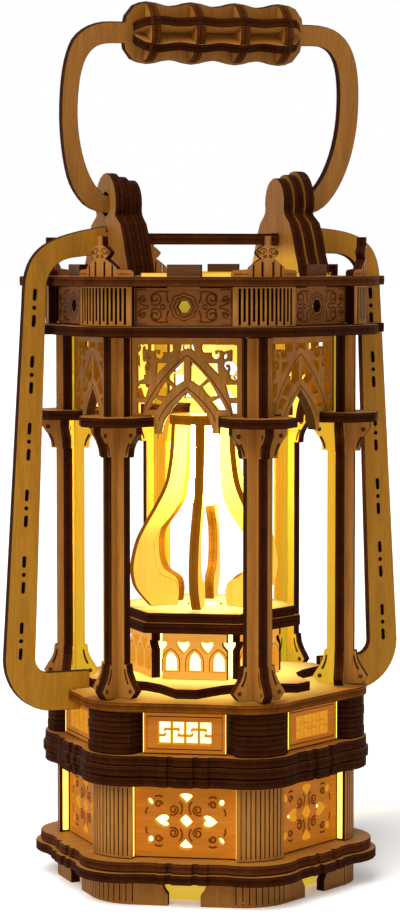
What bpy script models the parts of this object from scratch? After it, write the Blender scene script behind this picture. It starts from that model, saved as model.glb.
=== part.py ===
"""A wooden lantern cut from thin plywood: a hexagonal drum, six cross-shaped columns, a chimney and a bail.

Metres, +Z up. The origin is the centre of the base on the ground, and +X runs along the bail's pivot.
Faces of the hexagon look along 0, 60, ... degrees, and its corners and columns stand at 30, 90, ... degrees.
"""
import math

import bpy
from mathutils import Matrix, Vector
from mathutils.geometry import tessellate_polygon

# Sheet and fits
SHEET = 0.0027              # thickness of the plywood
GAP = 0.0003                # clearance between neighbouring pieces
PLY = SHEET + GAP           # pitch of stacked sheets
SLOT = SHEET + 2 * GAP      # width of a slot that takes a sheet
JOIN = 0.0010               # how far glued pieces of one body run into each other
TRIM = 0.00005              # keeps two glued pieces from ending in the same plane

FACES = range(0, 360, 60)
CORNERS = range(30, 390, 60)
HALF_CORNER = math.radians(30)
TAN = math.tan(HALF_CORNER)
COS = math.cos(HALF_CORNER)

# Heights of the stack, from the ground up
PLINTH_HEIGHT = 0.0072
LOWER_SHEETS = 2
DRUM_HEIGHT = 0.0209
MID_SHEETS = 3
BLOCK_SHEETS = 4
COLUMN_HEIGHT = 0.1018
WINDOW_RISE = 0.0252        # from the capital plate's underside to the cornice
CAPITAL_LEVEL = COLUMN_HEIGHT - WINDOW_RISE
FRIEZE_HEIGHT = 0.0109
LAMP_DRUM_HEIGHT = 0.0138
LAMP_SHEETS = 2
RIB_HEIGHT = 0.0526
PIVOT_HEIGHT = 0.0203       # bail's pivot above the roof

Z_LOWER = PLINTH_HEIGHT
Z_DRUM = Z_LOWER + LOWER_SHEETS * PLY
Z_MID = Z_DRUM + DRUM_HEIGHT
Z_BLOCK = Z_MID + MID_SHEETS * PLY
Z_TIER = Z_BLOCK + BLOCK_SHEETS * PLY
Z_COLUMN = Z_TIER + PLY
Z_LAMP_DRUM = Z_COLUMN + PLY
Z_LAMP = Z_LAMP_DRUM + LAMP_DRUM_HEIGHT
Z_RIB = Z_LAMP + LAMP_SHEETS * PLY
Z_COLLAR = Z_RIB + RIB_HEIGHT
Z_CAPITAL = Z_COLUMN + CAPITAL_LEVEL
Z_CORNICE = Z_COLUMN + COLUMN_HEIGHT
Z_FRIEZE = Z_CORNICE + PLY
Z_TOP = Z_FRIEZE + FRIEZE_HEIGHT
Z_ROOF = Z_TOP + PLY
Z_PIVOT = Z_ROOF + PIVOT_HEIGHT

# Drum and plinth: a hexagon with well-rounded corners, each corner a bent strip
DRUM_APOTHEM = 0.0401
DRUM_FILLET = 0.0152
PANEL_RECESS = 0.0030       # the flat panels stand this far behind the strips
PLINTH_OPENING_TOP = 0.0140
PLINTH_OPENING_BOTTOM = 0.0093
PLINTH_SHOULDER = 0.0032    # height of the opening's upright sides
DIAMOND_RADIUS = 0.0019     # pierced flower of each flat panel
PETAL_NEAR = 0.0048
PETAL_FAR = 0.0086
PETAL_HALF = 0.0015

# Mouldings: round lobes at the corners and a stepped wave at the middle of each face
LOBE_RADIUS = 0.0146
LOWER_REACH = 0.0505
LOWER_SETBACK = 0.0015      # the second sheet of the lower moulding stands back
MID_REACH = 0.0476
MID_BULGE = 0.0006          # the middle sheet stands proud
WAIST_LEAN = math.radians(21)   # where a moulding's lobe ends, short of the face's own direction
WAVE = ((0.0074, 0.0007), (0.0046, 0.0), (0.0031, 0.0011))   # half width and step of each wave
MID_HOLE_RADIUS = 0.0220

# Tier above the drum: corner blocks with meander panels between them
BLOCK_REACH = 0.0470
BLOCK_WIDTH = 0.0156
BLOCK_BULGE = 0.0035
BLOCK_DEPTH = 0.0150
BLOCK_STEP = 0.0005
KEY_APOTHEM = 0.0390
KEY_COUNT = 4
KEY_PITCH = 0.0034
KEY_HALF_WIDTH = 0.0014
KEY_HALF_HEIGHT = 0.0022
TIER_REACH = 0.0476
TIER_LEAN = math.radians(13)
TIER_HOLE_RADIUS = 0.0115

# Star plate, lamp drum and lamp plates
STAR_REACH = 0.0360
STAR_TIP = 0.0060
STAR_VALLEY = 0.0270
STAR_FLARE = 0.0012         # how far out the valley has come at its half width
STAR_VALLEY_HALF = 0.0060
LAMP_DRUM_APOTHEM = 0.0202
LAMP_LOWER_REACH = 0.0281
LAMP_UPPER_REACH = 0.0266
LAMP_HOLE_RADIUS = 0.0050
LAMP_ARCHES = 3
LAMP_MARGIN = 0.0014        # wood beside and between the arches
LAMP_ARCH_HEIGHT = 0.0056
LAMP_ARCH_SILL = 0.0023

# Chimney ribs: outer and inner contours as height above the foot and distance from the axis
RIB_OUTER = ((0.0, 0.0172), (0.0047, 0.0213), (0.0082, 0.0226), (0.0125, 0.0228), (0.0190, 0.0212),
             (0.0242, 0.0184), (0.0293, 0.0152), (0.0356, 0.0120), (0.0436, 0.0105), (0.0526, 0.0099))
RIB_INNER = ((0.0526, 0.0058), (0.0436, 0.0062), (0.0322, 0.0076), (0.0267, 0.0105), (0.0210, 0.0153),
             (0.0150, 0.0162), (0.0096, 0.0145), (0.0072, 0.0100), (0.0045, 0.0086), (0.0, 0.0090))
COLLAR_RADIUS = 0.0103
TUBE_RADIUS = 0.0040
TUBE_LENGTH = 0.0265
SOCKET_RADIUS = 0.0052
ROUND_STEPS = 20

# Columns: two sheets crossed at each corner, with brackets at the head and the foot
COLUMN_RADIUS = 0.0400
SHAFT_HALF = 0.00395
HEAD_HALF = 0.0084
HEAD_STEP_HALF = 0.0054
HEAD_HEIGHT = 0.0096
HEAD_BAND = 0.0030
FOOT_HALF = 0.0080
FOOT_TOE_HALF = 0.0062
FOOT_STEP_HALF = 0.0047
FOOT_HEIGHT = 0.0098
FOOT_TOE_HEIGHT = 0.0022
FOOT_BEND_LOW = 0.0045      # heights between which the foot's bracket sweeps in
FOOT_BEND_HIGH = 0.0060
HEAD_BEND_LOW = 0.0060      # the same below the head's top
HEAD_BEND_HIGH = 0.0050
BRACKET_SWEEP = 0.0012
CAPITAL_HALF = 0.0102

# Window panels above the columns' heads
WINDOW_APOTHEM = 0.0346
WINDOW_MARGIN = 0.0015      # frame at the panel's two sides
WINDOW_HEAD = 0.0020        # frame at its top
LEG_DROP = 0.0050
LEG_HALF = 0.0092
LEG_WIDTH = 0.0021
# Right halves of the two arches from the foot to the apex: both edges of each, as Bezier points
OUTER_ARCH = ((0.0138, 0.0), (0.0121, 0.0062), (0.0050, 0.0148), (0.0, 0.0183))
OUTER_ARCH_INSIDE = ((0.0116, 0.0), (0.0101, 0.0052), (0.0042, 0.0126), (0.0, 0.0157))
INNER_ARCH = ((LEG_HALF, 0.0), (0.0090, 0.0024), (0.0048, 0.0062), (0.0, 0.0092))
INNER_ARCH_INSIDE = ((LEG_HALF - LEG_WIDTH, -LEG_DROP), (0.0072, -0.0012), (0.0036, 0.0032), (0.0, 0.0066))
# Openings between the arches, as shares of the outer and of the inner arch
ARCH_CELLS = ((0.10, 0.30, 0.20, 0.45), (0.36, 0.54, 0.54, 0.70), (0.60, 0.92, 0.77, 0.935))
SIDE_OPENINGS = ((0.0036, 0.0062), (0.0071, 0.0087))    # heights of the openings beside the outer arch
SPANDREL_LOW = 0.0096
SPANDREL_END = 0.0024       # distance of the spandrel's tip from the middle
ARCH_LIP = 0.0008           # wood between the outer arch's edge and an opening
ARCH_STEPS = 10

# Cornice plates, frieze and crests
CORNICE_APOTHEM = 0.0465
CORNICE_FILLET = 0.0207
SPOKE_HALF = 0.0030
HUB_RADIUS = 0.0090
WELL_RADIUS = 0.0205
PRONG_REACH = 0.0542
PRONG_WIDTH = 0.0055
PRONG_ROOT = 0.0025
FRIEZE_APOTHEM = 0.0432
FRIEZE_FILLET = 0.0188
MEDALLION_RADIUS = 0.0019
TENON_WIDTH = 0.0095
TENON_RISE = 0.0031         # of the frieze panels' tenons above the roof
CREST = ((0.0104, 0.0014), (0.0098, 0.0019), (0.0057, 0.0021), (0.0055, 0.0026), (0.0035, 0.0046),
         (0.0034, 0.0070), (0.0022, 0.0080), (0.0012, 0.0084), (0.0010, 0.0112))

# Ears that carry the bail, and the spreader between them
EAR_SHEETS = 3
EAR_OUTER_FACE = 0.0306
EAR_BASE_HALF = 0.0190
EAR_HEAD_RADIUS = 0.0088
EAR_LAYER_STEP = 0.0010
EAR_CONTOUR = ((0.0, 0.0), (0.0030, 0.0008), (0.0060, 0.0024), (0.0110, 0.0044), (0.0145, 0.0066))
NECK_HALF = 0.0080
NECK_DROP = 0.0031
NECK_EASE = 0.0006          # chamfer below the neck
NECK_LIP = 0.0012           # from the neck up to where the round head starts
EYE_RADIUS = 0.0034
SPREADER_LEVEL = 0.0090
SPREADER_WIDTH = 0.0080
SPREADER_TENON = 0.0050

# Straps down the two sides
STRAP_TOP_OUTER = 0.0556
STRAP_TOP_WIDTH = 0.0066
STRAP_FOOT_OUTER = 0.0617
STRAP_FOOT_WIDTH = 0.0090
STRAP_ARM_TOP = 0.0140      # upper edge of the strap's head above the roof
STRAP_ARM_HEIGHT = 0.0078
STRAP_HEAD_BEND = 0.0130
STRAP_FOOT_BEND = 0.0140
STRAP_INNER_BEND = 0.0040
STRAP_LOW_EDGE = 0.0018     # lower edge of the foot below the tier plate
STRAP_FOOT_ARM = 0.0098
STRAP_TENON = 0.0044

# Bail and its grip
BAIL_LEAN = math.radians(8.5)
BAIL_HALF = 0.0435
BAIL_WAIST = 0.0280
BAIL_HEIGHT = 0.0493
BAIL_SHOULDER = 0.0310
BAIL_WIDTH = 0.0060
BAIL_RISE = 0.0005          # shape of the bar just outside the ear and below the grip
BAIL_LOW_DRAW = 0.0055
BAIL_HIGH_DRAW = 0.0030
BAIL_HIGH_BEND = 0.0140
BAIL_END_WIDTH = 0.0050
GRIP_LENGTH = 0.0540
GRIP_END_RADIUS = 0.0040
GRIP_RADIUS = 0.0088
GRIP_VALLEY = 0.0012
GRIP_RINGS = 4
GRIP_PITCH = 0.0135
GRIP_RIB_LEVEL = 0.0037
BEND_STEPS = 14

# Battery box in the drum, its cell, door and switch
BOX_LENGTH = 0.0600
BOX_WIDTH = 0.0300
BOX_HEIGHT = 0.0165
BOX_WALL = 0.0015
BOX_LEDGE = 0.0020
CELL_WIDTH = 0.0250
CELL_HEIGHT = 0.0105
CELL_FREE = 0.0125          # room left beside the cell for the switch
SWITCH_TRAVEL = 0.0030
SWITCH_LENGTH = 0.0040
SWITCH_WIDTH = 0.0030
SWITCH_FLANGE = 0.0010
SWITCH_LIP = 0.0010         # how far the flange stands out beyond the stem
SWITCH_DROP = 0.0010
SWITCH_INSET = 0.0085       # from the box's end to the switch

# Colours: the sheet's face, its burnt edge, and the electrical parts
WOOD = (0.50, 0.27, 0.09)
DARK_WOOD = (0.20, 0.075, 0.02)
FROSTED = (0.95, 0.93, 0.88)
PLASTIC = (0.05, 0.05, 0.05)
CELL_METAL = (0.55, 0.50, 0.30)


def clear_scene():
    for item in list(bpy.data.objects):
        bpy.data.objects.remove(item, do_unlink=True)


def material(name, colour, roughness, metallic=0.0):
    made = bpy.data.materials.new(name)
    made.use_nodes = True
    shader = made.node_tree.nodes["Principled BSDF"]
    shader.inputs["Base Color"].default_value = (*colour, 1.0)
    shader.inputs["Roughness"].default_value = roughness
    shader.inputs["Metallic"].default_value = metallic
    return made


# Outlines: lists of (x, y), anticlockwise

def arc(centre, radius, start, end, steps):
    """Points on an arc, both ends included, with its angles in degrees."""
    points = []
    for step in range(steps + 1):
        angle = math.radians(start + (end - start) * step / steps)
        points.append((centre[0] + radius * math.cos(angle), centre[1] + radius * math.sin(angle)))
    return points


def circle(centre, radius, steps=ROUND_STEPS):
    return arc(centre, radius, 0, 360, steps)[:-1]


def rectangle(x0, y0, x1, y1):
    return [(x0, y0), (x1, y0), (x1, y1), (x0, y1)]


def mirrored(half):
    """A closed outline from its right half, which runs upwards at x > 0."""
    return half + [(-x, y) for x, y in reversed(half)]


def turned(points, degrees):
    cosine, sine = math.cos(math.radians(degrees)), math.sin(math.radians(degrees))
    return [(x * cosine - y * sine, x * sine + y * cosine) for x, y in points]


def on_face(points, degrees):
    """Points given as (along the face, out from the axis), turned to the face that looks along degrees."""
    return turned([(out, along) for along, out in points], degrees)


def bezier(start, first, second, end, steps):
    points = []
    for step in range(steps + 1):
        t = step / steps
        weights = ((1 - t) ** 3, 3 * t * (1 - t) ** 2, 3 * t * t * (1 - t), t ** 3)
        pairs = list(zip(weights, (start, first, second, end)))
        points.append((sum(w * p[0] for w, p in pairs), sum(w * p[1] for w, p in pairs)))
    return points


def anticlockwise(points):
    area = 0.0
    for (x0, y0), (x1, y1) in zip(points, points[1:] + points[:1]):
        area += x0 * y1 - x1 * y0
    return points if area > 0 else list(reversed(points))


def hexagon(reach):
    return [(reach * math.cos(math.radians(a)), reach * math.sin(math.radians(a))) for a in CORNERS]


# Solids: (vertices, faces)

def prism(outline, thickness, holes=()):
    """An upright plate from z = 0 to its thickness, with its outline and holes cut square."""
    return stack([(outline, 0.0), (outline, thickness)], holes)


def stack(levels, holes=()):
    """A body through outlines of equal point count, each at its height, with holes cut straight through."""
    first_outline, low = levels[0]
    last_outline, high = levels[-1]
    size = len(first_outline)
    cut = [list(reversed(anticlockwise(hole))) for hole in holes]
    vertices = [(x, y, z) for outline, z in levels for x, y in outline]
    hole_low = len(vertices)
    hole_points = [point for hole in cut for point in hole]
    vertices += [(x, y, low) for x, y in hole_points] + [(x, y, high) for x, y in hole_points]
    hole_high = hole_low + len(hole_points)
    bottom_ids = list(range(size)) + list(range(hole_low, hole_high))
    top_ids = list(range(size * (len(levels) - 1), size * len(levels)))
    top_ids += list(range(hole_high, hole_high + len(hole_points)))
    faces = [tuple(bottom_ids[i] for i in reversed(face)) for face in cap([list(first_outline)] + cut)]
    faces += [tuple(top_ids[i] for i in face) for face in cap([list(last_outline)] + cut)]
    for level in range(len(levels) - 1):
        faces += wall(level * size, (level + 1) * size, size)
    start = 0
    for hole in cut:
        faces += wall(hole_low + start, hole_high + start, len(hole))
        start += len(hole)
    return vertices, faces


def cap(loops):
    """Faces that fill the first loop and leave the others open, facing up."""
    if len(loops) == 1:
        return [tuple(range(len(loops[0])))]
    flat = [point for loop in loops for point in loop]
    faces = tessellate_polygon([[Vector((x, y, 0.0)) for x, y in loop] for loop in loops])
    area = 0.0
    for a, b, c in faces:
        area += (flat[b][0] - flat[a][0]) * (flat[c][1] - flat[a][1])
        area -= (flat[b][1] - flat[a][1]) * (flat[c][0] - flat[a][0])
    return [tuple(face) if area > 0 else tuple(reversed(face)) for face in faces]


def wall(low, high, size):
    """Faces between two loops of vertices, one above the other."""
    return [(low + i, low + (i + 1) % size, high + (i + 1) % size, high + i) for i in range(size)]


def band(outer, inner, height):
    """A closed wall between two outlines of equal point count, from z = 0 to its height."""
    size = len(outer)
    vertices = [(x, y, z) for z in (0.0, height) for loop in (outer, inner) for x, y in loop]
    faces = wall(0, 2 * size, size) + wall(3 * size, size, size)
    return vertices, faces + wall(size, 0, size) + wall(2 * size, 3 * size, size)


def bent_strip(apothem, fillet, stations):
    """A sheet bent round one corner of a rounded hexagon, the corner on +X.

    A station is (distance along the outer face from the corner, lower edge, upper edge).
    """
    centre = (apothem - fillet) / COS
    half_arc = fillet * HALF_CORNER

    def place(along, inward):
        side = -1.0 if along < 0 else 1.0
        angle = side * min(abs(along), half_arc) / fillet
        straight = side * max(abs(along) - half_arc, 0.0)
        radius = fillet - inward
        return (centre + radius * math.cos(angle) - straight * math.sin(angle),
                radius * math.sin(angle) + straight * math.cos(angle))

    vertices = []
    for along, low, high in stations:
        for inward in (0.0, SHEET):
            x, y = place(along, inward)
            vertices += [(x, y, low), (x, y, high)]
    faces = [(0, 1, 3, 2)]
    for index in range(len(stations) - 1):
        a, b = 4 * index, 4 * index + 4
        faces += [(a, b, b + 1, a + 1), (a + 2, a + 3, b + 3, b + 2)]
        faces += [(a + 1, b + 1, b + 3, a + 3), (a, a + 2, b + 2, b)]
    last = 4 * len(stations) - 4
    faces.append((last, last + 2, last + 3, last + 1))
    return vertices, faces


def moved(solid, matrix):
    vertices, faces = solid
    return [tuple(matrix @ Vector(v)) for v in vertices], faces


def mesh_object(name, solids, place):
    vertices, faces = [], []
    for solid_vertices, solid_faces in solids:
        first = len(vertices)
        vertices += solid_vertices
        faces += [tuple(first + index for index in face) for face in solid_faces]
    mesh = bpy.data.meshes.new(name)
    mesh.from_pydata(vertices, [], faces)
    made = bpy.data.objects.new(name, mesh)
    bpy.context.scene.collection.objects.link(made)
    made.matrix_world = place
    return made


def add_node(name, solid, finish, place=Matrix(), joins=(), cuts=()):
    """One object. Each group in joins is glued to it, and each group in cuts is cut out of it."""
    made = mesh_object(name, [solid], place)
    made.data.materials.append(finish)
    for operation, groups in (("UNION", joins), ("DIFFERENCE", cuts)):
        for number, solids in enumerate(groups, 1):
            helper = mesh_object(f"{name}_{operation.lower()}_{number}", solids, place)
            helper.hide_render = True
            helper.display_type = "WIRE"
            modifier = made.modifiers.new(helper.name, "BOOLEAN")
            modifier.operation = operation
            modifier.object = helper
    return made


# Places

def lifted(height):
    return Matrix.Translation((0.0, 0.0, height))


def spun(degrees, height=0.0):
    return lifted(height) @ Matrix.Rotation(math.radians(degrees), 4, "Z")


def facing(degrees, outer, height, thickness=SHEET):
    """Stands a plate up so that it looks along degrees, its outer face at this distance from the axis."""
    upright = Matrix(((0, 0, 1, 0), (1, 0, 0, 0), (0, 1, 0, 0), (0, 0, 0, 1)))
    return spun(degrees, height) @ Matrix.Translation((outer - thickness, 0, 0)) @ upright


def radial(degrees, height):
    """Stands a plate up in the plane through the axis, its x along degrees, centred on that plane."""
    upright = Matrix(((1, 0, 0, 0), (0, 0, -1, 0), (0, 1, 0, 0), (0, 0, 0, 1)))
    return spun(degrees, height) @ Matrix.Translation((0, SHEET / 2, 0)) @ upright


# Base: plinth, mouldings and drum

def strip_stations(half, low, high, steps):
    return [(half * (2 * step / steps - 1), low, high) for step in range(steps + 1)]


def plinth(finish):
    """The lower moulding's first sheet, with six bent strips glued under it as feet."""
    height = PLINTH_HEIGHT + JOIN
    side = DRUM_APOTHEM * TAN
    reach = side - DRUM_FILLET * TAN + DRUM_FILLET * HALF_CORNER
    top = reach - PLINTH_OPENING_TOP / 2
    toe = reach - PLINTH_OPENING_BOTTOM / 2
    lip = height - PLINTH_SHOULDER
    rise = [(toe, PLINTH_SHOULDER), (toe + (top - toe) * 0.25, PLINTH_SHOULDER + lip * 0.35),
            (toe + (top - toe) * 0.75, PLINTH_SHOULDER + lip * 0.6)]
    stations = [(-along, 0.0, high) for along, high in rise]
    stations += strip_stations(top, 0.0, height, 8)
    stations += [(along, 0.0, high) for along, high in reversed(rise)]
    strip = bent_strip(DRUM_APOTHEM, DRUM_FILLET, stations)
    sheet = moved(prism(moulding_outline(LOWER_REACH), SHEET, [box_window(BOX_LEDGE)]), lifted(Z_LOWER))
    add_node("plinth", sheet, finish, joins=[[moved(strip, spun(corner)) for corner in CORNERS]])


def waist_of(reach, lean):
    """Apothem at which lobes of this reach end, leaning back from the face's direction."""
    return (reach - LOBE_RADIUS) * COS + LOBE_RADIUS * math.cos(lean)


def lobe_of(reach, lean):
    """One lobe about +X."""
    spread = 30 + math.degrees(lean)
    return arc((reach - LOBE_RADIUS, 0.0), LOBE_RADIUS, -spread, spread, 8)


def moulding_outline(reach):
    """Round lobes at the corners joined by a stepped wave at the middle of each face."""
    waist = waist_of(reach, WAIST_LEAN)
    outline = []
    for face in FACES:
        wave = []
        level = 0.0
        for half, step in WAVE:
            wave += [(half, waist + level), (half - GAP, waist + step)]
            level = step
        middle = [(-along, out) for along, out in wave] + list(reversed(wave))
        outline += on_face(middle, face)
        outline += turned(lobe_of(reach, WAIST_LEAN), face + 30)
    return outline


def box_window(inset):
    half_x, half_y = BOX_LENGTH / 2 + GAP - inset, BOX_WIDTH / 2 + GAP - inset
    return rectangle(-half_x, -half_y, half_x, half_y)


def lower_moulding(finish):
    """The lower moulding's second sheet, set back from the first, round the battery box."""
    upper = prism(moulding_outline(LOWER_REACH - LOWER_SETBACK), SHEET, [box_window(0.0)])
    add_node("lower_moulding", upper, finish, lifted(Z_LOWER + PLY))


def drum(finish):
    height = DRUM_HEIGHT - GAP
    strip = bent_strip(DRUM_APOTHEM, DRUM_FILLET, strip_stations(DRUM_FILLET * HALF_CORNER, 0.0, height, 6))
    for number, corner in enumerate(CORNERS, 1):
        add_node(f"drum_corner_{number}", strip, finish, spun(corner, Z_DRUM))
    half = (DRUM_APOTHEM - DRUM_FILLET) * TAN - GAP
    middle = (0.0, height / 2)
    leaf = petal(PETAL_NEAR, PETAL_FAR, PETAL_HALF)
    petals = [turned_about(leaf, turn, middle) for turn in (0, 90, 180, 270)]
    panel = prism(rectangle(-half, 0.0, half, height), SHEET, [circle(middle, DIAMOND_RADIUS, 4)] + petals)
    for number, face in enumerate(FACES, 1):
        add_node(f"drum_panel_{number}", panel, finish, facing(face, DRUM_APOTHEM - PANEL_RECESS, Z_DRUM))


def petal(near, far, half):
    """A small leaf-shaped opening along +x."""
    middle = (near + far) / 2
    return [(near, 0.0), (middle, -half), (far, 0.0), (middle, half)]


def turned_about(points, degrees, centre):
    return [(x + centre[0], y + centre[1]) for x, y in turned(points, degrees)]


def mid_moulding(finish):
    """Three sheets glued together, the middle one proud of the other two."""
    levels = []
    for sheet in range(MID_SHEETS):
        outline = moulding_outline(MID_REACH + (MID_BULGE if sheet % 2 else 0.0))
        top = (sheet + 1) * PLY - (GAP if sheet == MID_SHEETS - 1 else 0.0)
        levels += [(outline, sheet * PLY), (outline, top)]
    add_node("mid_moulding", stack(levels, [circle((0.0, 0.0), MID_HOLE_RADIUS)]), finish, lifted(Z_MID))


# Tier: corner blocks, meander panels and the plate over them

def block_outline(inset):
    half = BLOCK_WIDTH / 2 - inset
    radius = (half * half + BLOCK_BULGE * BLOCK_BULGE) / (2 * BLOCK_BULGE)
    spread = math.degrees(math.asin(half / radius))
    reach = BLOCK_REACH - inset
    inner = BLOCK_REACH - BLOCK_DEPTH + inset
    return [(inner, -half)] + arc((reach - radius, 0.0), radius, -spread, spread, 6) + [(inner, half)]


def corner_blocks(finish):
    """Each block is a pile of glued sheets, every other one drawn in a little."""
    levels = []
    for sheet in range(BLOCK_SHEETS):
        outline = block_outline(BLOCK_STEP * (sheet % 2))
        top = (sheet + 1) * PLY - (GAP if sheet == BLOCK_SHEETS - 1 else 0.0)
        levels += [(outline, sheet * PLY), (outline, top)]
    block = stack(levels)
    for number, corner in enumerate(CORNERS, 1):
        add_node(f"corner_block_{number}", block, finish, spun(corner, Z_BLOCK))


def key_panels(finish):
    """Panels with a row of meander openings, held between the corner blocks."""
    height = Z_TIER - Z_BLOCK - GAP
    inner = KEY_APOTHEM - SHEET
    along = (inner - BLOCK_WIDTH / 2 * math.sin(HALF_CORNER)) / COS
    half = along * math.sin(HALF_CORNER) - BLOCK_WIDTH / 2 * COS - GAP
    openings = []
    low, high = height / 2 - KEY_HALF_HEIGHT, height / 2 + KEY_HALF_HEIGHT
    for index in range(KEY_COUNT):
        x = (index - (KEY_COUNT - 1) / 2) * KEY_PITCH
        openings.append(rectangle(x - KEY_HALF_WIDTH, low, x + KEY_HALF_WIDTH, high))
    panel = prism(rectangle(-half, 0.0, half, height), SHEET, openings)
    for number, face in enumerate(FACES, 1):
        add_node(f"key_panel_{number}", panel, finish, facing(face, KEY_APOTHEM, Z_BLOCK))


def tier_waist():
    return waist_of(TIER_REACH, TIER_LEAN)


def strap_foot_end():
    """Where the strap's foot stops, just outside the meander panel."""
    return KEY_APOTHEM + GAP


def strap_lap():
    """Where the notches of the strap's foot and of the tier plate meet."""
    return (strap_foot_end() + tier_waist()) / 2


def tier_plate(finish):
    """A lobed plate, notched at its two sides where the straps' feet cross it."""
    notch = strap_lap() - GAP
    outline = []
    for face in FACES:
        if face in (0, 180):
            cut = [(-SLOT / 2, tier_waist()), (-SLOT / 2, notch), (SLOT / 2, notch), (SLOT / 2, tier_waist())]
            outline += on_face(cut, face)
        outline += turned(lobe_of(TIER_REACH, TIER_LEAN), face + 30)
    plate = prism(outline, SHEET, [circle((0.0, 0.0), TIER_HOLE_RADIUS)])
    add_node("tier_plate", plate, finish, lifted(Z_TIER))


# Lamp: star plate, small drum, two plates, ribs, collar and tube

def star_plate(finish):
    outline = []
    flare = STAR_VALLEY + STAR_FLARE
    valley = [(flare, -STAR_VALLEY_HALF), (STAR_VALLEY, 0.0), (flare, STAR_VALLEY_HALF)]
    for face in FACES:
        outline += on_face([(-STAR_TIP / 2, STAR_REACH), (STAR_TIP / 2, STAR_REACH)], face)
        outline += turned(valley, face + 30)
    plate = prism(outline, SHEET, [circle((0.0, 0.0), TIER_HOLE_RADIUS)])
    add_node("star_plate", plate, finish, lifted(Z_COLUMN))


def pointed_arch(centre, half, spring, rise, steps):
    """The curve of a pointed arch from its right foot over the apex to its left foot."""
    shift = (rise * rise - half * half) / (2 * half)
    radius = half + shift
    apex = math.degrees(math.atan2(rise, shift))
    right = arc((centre - shift, spring), radius, 0, apex, steps)
    left = [(2 * centre - x, y) for x, y in reversed(right[:-1])]
    return right + left


def lamp_stand(finish):
    """Two hexagonal sheets on six arcaded panels that leave a gap at each corner."""
    half = (LAMP_DRUM_APOTHEM - SHEET) * TAN - GAP
    bay = (2 * half - 2 * LAMP_MARGIN) / LAMP_ARCHES
    width = bay - LAMP_MARGIN
    windows = []
    for index in range(LAMP_ARCHES):
        centre = (index - (LAMP_ARCHES - 1) / 2) * bay
        foot = [(centre - width / 2, LAMP_ARCH_SILL), (centre + width / 2, LAMP_ARCH_SILL)]
        spring = LAMP_ARCH_SILL + LAMP_ARCH_HEIGHT / 2
        windows.append(foot + pointed_arch(centre, width / 2, spring, LAMP_ARCH_HEIGHT / 2, 3)[1:-1])
    panel = prism(rectangle(-half, 0.0, half, LAMP_DRUM_HEIGHT + JOIN), SHEET, windows)
    panels = [moved(panel, facing(face, LAMP_DRUM_APOTHEM, 0.0)) for face in FACES]
    lower, upper = hexagon(LAMP_LOWER_REACH), hexagon(LAMP_UPPER_REACH)
    levels = [(lower, 0.0), (lower, PLY), (upper, PLY), (upper, LAMP_SHEETS * PLY - GAP)]
    plates = moved(stack(levels, [circle((0.0, 0.0), LAMP_HOLE_RADIUS)]), lifted(LAMP_DRUM_HEIGHT))
    add_node("lamp_stand", plates, finish, lifted(Z_LAMP_DRUM), joins=[panels])


def smooth(points, steps):
    """A curve through the points, with this many pieces between two of them."""
    result = [points[0]]
    for index in range(len(points) - 1):
        before = points[max(index - 1, 0)]
        start, end = points[index], points[index + 1]
        after = points[min(index + 2, len(points) - 1)]
        first = tuple(start[i] + (end[i] - before[i]) / 6 for i in (0, 1))
        second = tuple(end[i] - (after[i] - start[i]) / 6 for i in (0, 1))
        result += bezier(start, first, second, end, steps)[1:]
    return result


def chimney(finish):
    """Six bulging ribs glued under one collar."""
    scale = RIB_HEIGHT / RIB_OUTER[-1][0]
    outer = [(out, up * scale) for up, out in smooth(RIB_OUTER, 2)]
    inner = [(out, up * scale) for up, out in smooth(RIB_INNER, 2)]
    head = [(outer[-1][0], RIB_HEIGHT + JOIN), (inner[0][0], RIB_HEIGHT + JOIN)]
    rib = prism(outer + head + inner, SHEET)
    ribs = [moved(rib, radial(face, 0.0)) for face in FACES]
    collar = prism(circle((0.0, 0.0), COLLAR_RADIUS), SHEET, [circle((0.0, 0.0), TUBE_RADIUS + GAP)])
    add_node("chimney", moved(collar, lifted(RIB_HEIGHT)), finish, lifted(Z_RIB), joins=[ribs])


def lamp(glass, plastic):
    """The tube hangs through the collar from a socket under the cornice."""
    tube = prism(circle((0.0, 0.0), TUBE_RADIUS), TUBE_LENGTH)
    add_node("lamp_tube", tube, glass, lifted(Z_COLLAR + PLY - TUBE_LENGTH - GAP))
    socket = prism(circle((0.0, 0.0), SOCKET_RADIUS), Z_CORNICE - Z_COLLAR - PLY - GAP)
    add_node("lamp_socket", socket, plastic, lifted(Z_COLLAR + PLY))


# Columns, their capital plates and the windows between them

def column_profile(trim):
    """The right edge of a column's sheet, from the foot up, with both ends cut shorter by the trim."""
    head = CAPITAL_LEVEL + JOIN - trim
    total = COLUMN_HEIGHT - GAP - trim
    foot_curve = bezier((FOOT_HALF, FOOT_TOE_HEIGHT), (FOOT_HALF - BRACKET_SWEEP, FOOT_BEND_LOW),
                        (FOOT_STEP_HALF, FOOT_BEND_HIGH), (FOOT_STEP_HALF, FOOT_HEIGHT), 4)
    head_curve = bezier((HEAD_STEP_HALF, head - HEAD_HEIGHT), (HEAD_STEP_HALF, head - HEAD_BEND_LOW),
                        (HEAD_HALF - BRACKET_SWEEP, head - HEAD_BEND_HIGH), (HEAD_HALF, head - HEAD_BAND), 4)
    shaft = [(SHAFT_HALF, FOOT_HEIGHT), (SHAFT_HALF, head - HEAD_HEIGHT)]
    neck = [(HEAD_HALF, head), (SHAFT_HALF, head), (SHAFT_HALF, total)]
    return [(FOOT_TOE_HALF, trim)] + foot_curve + shaft + head_curve + neck


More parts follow.
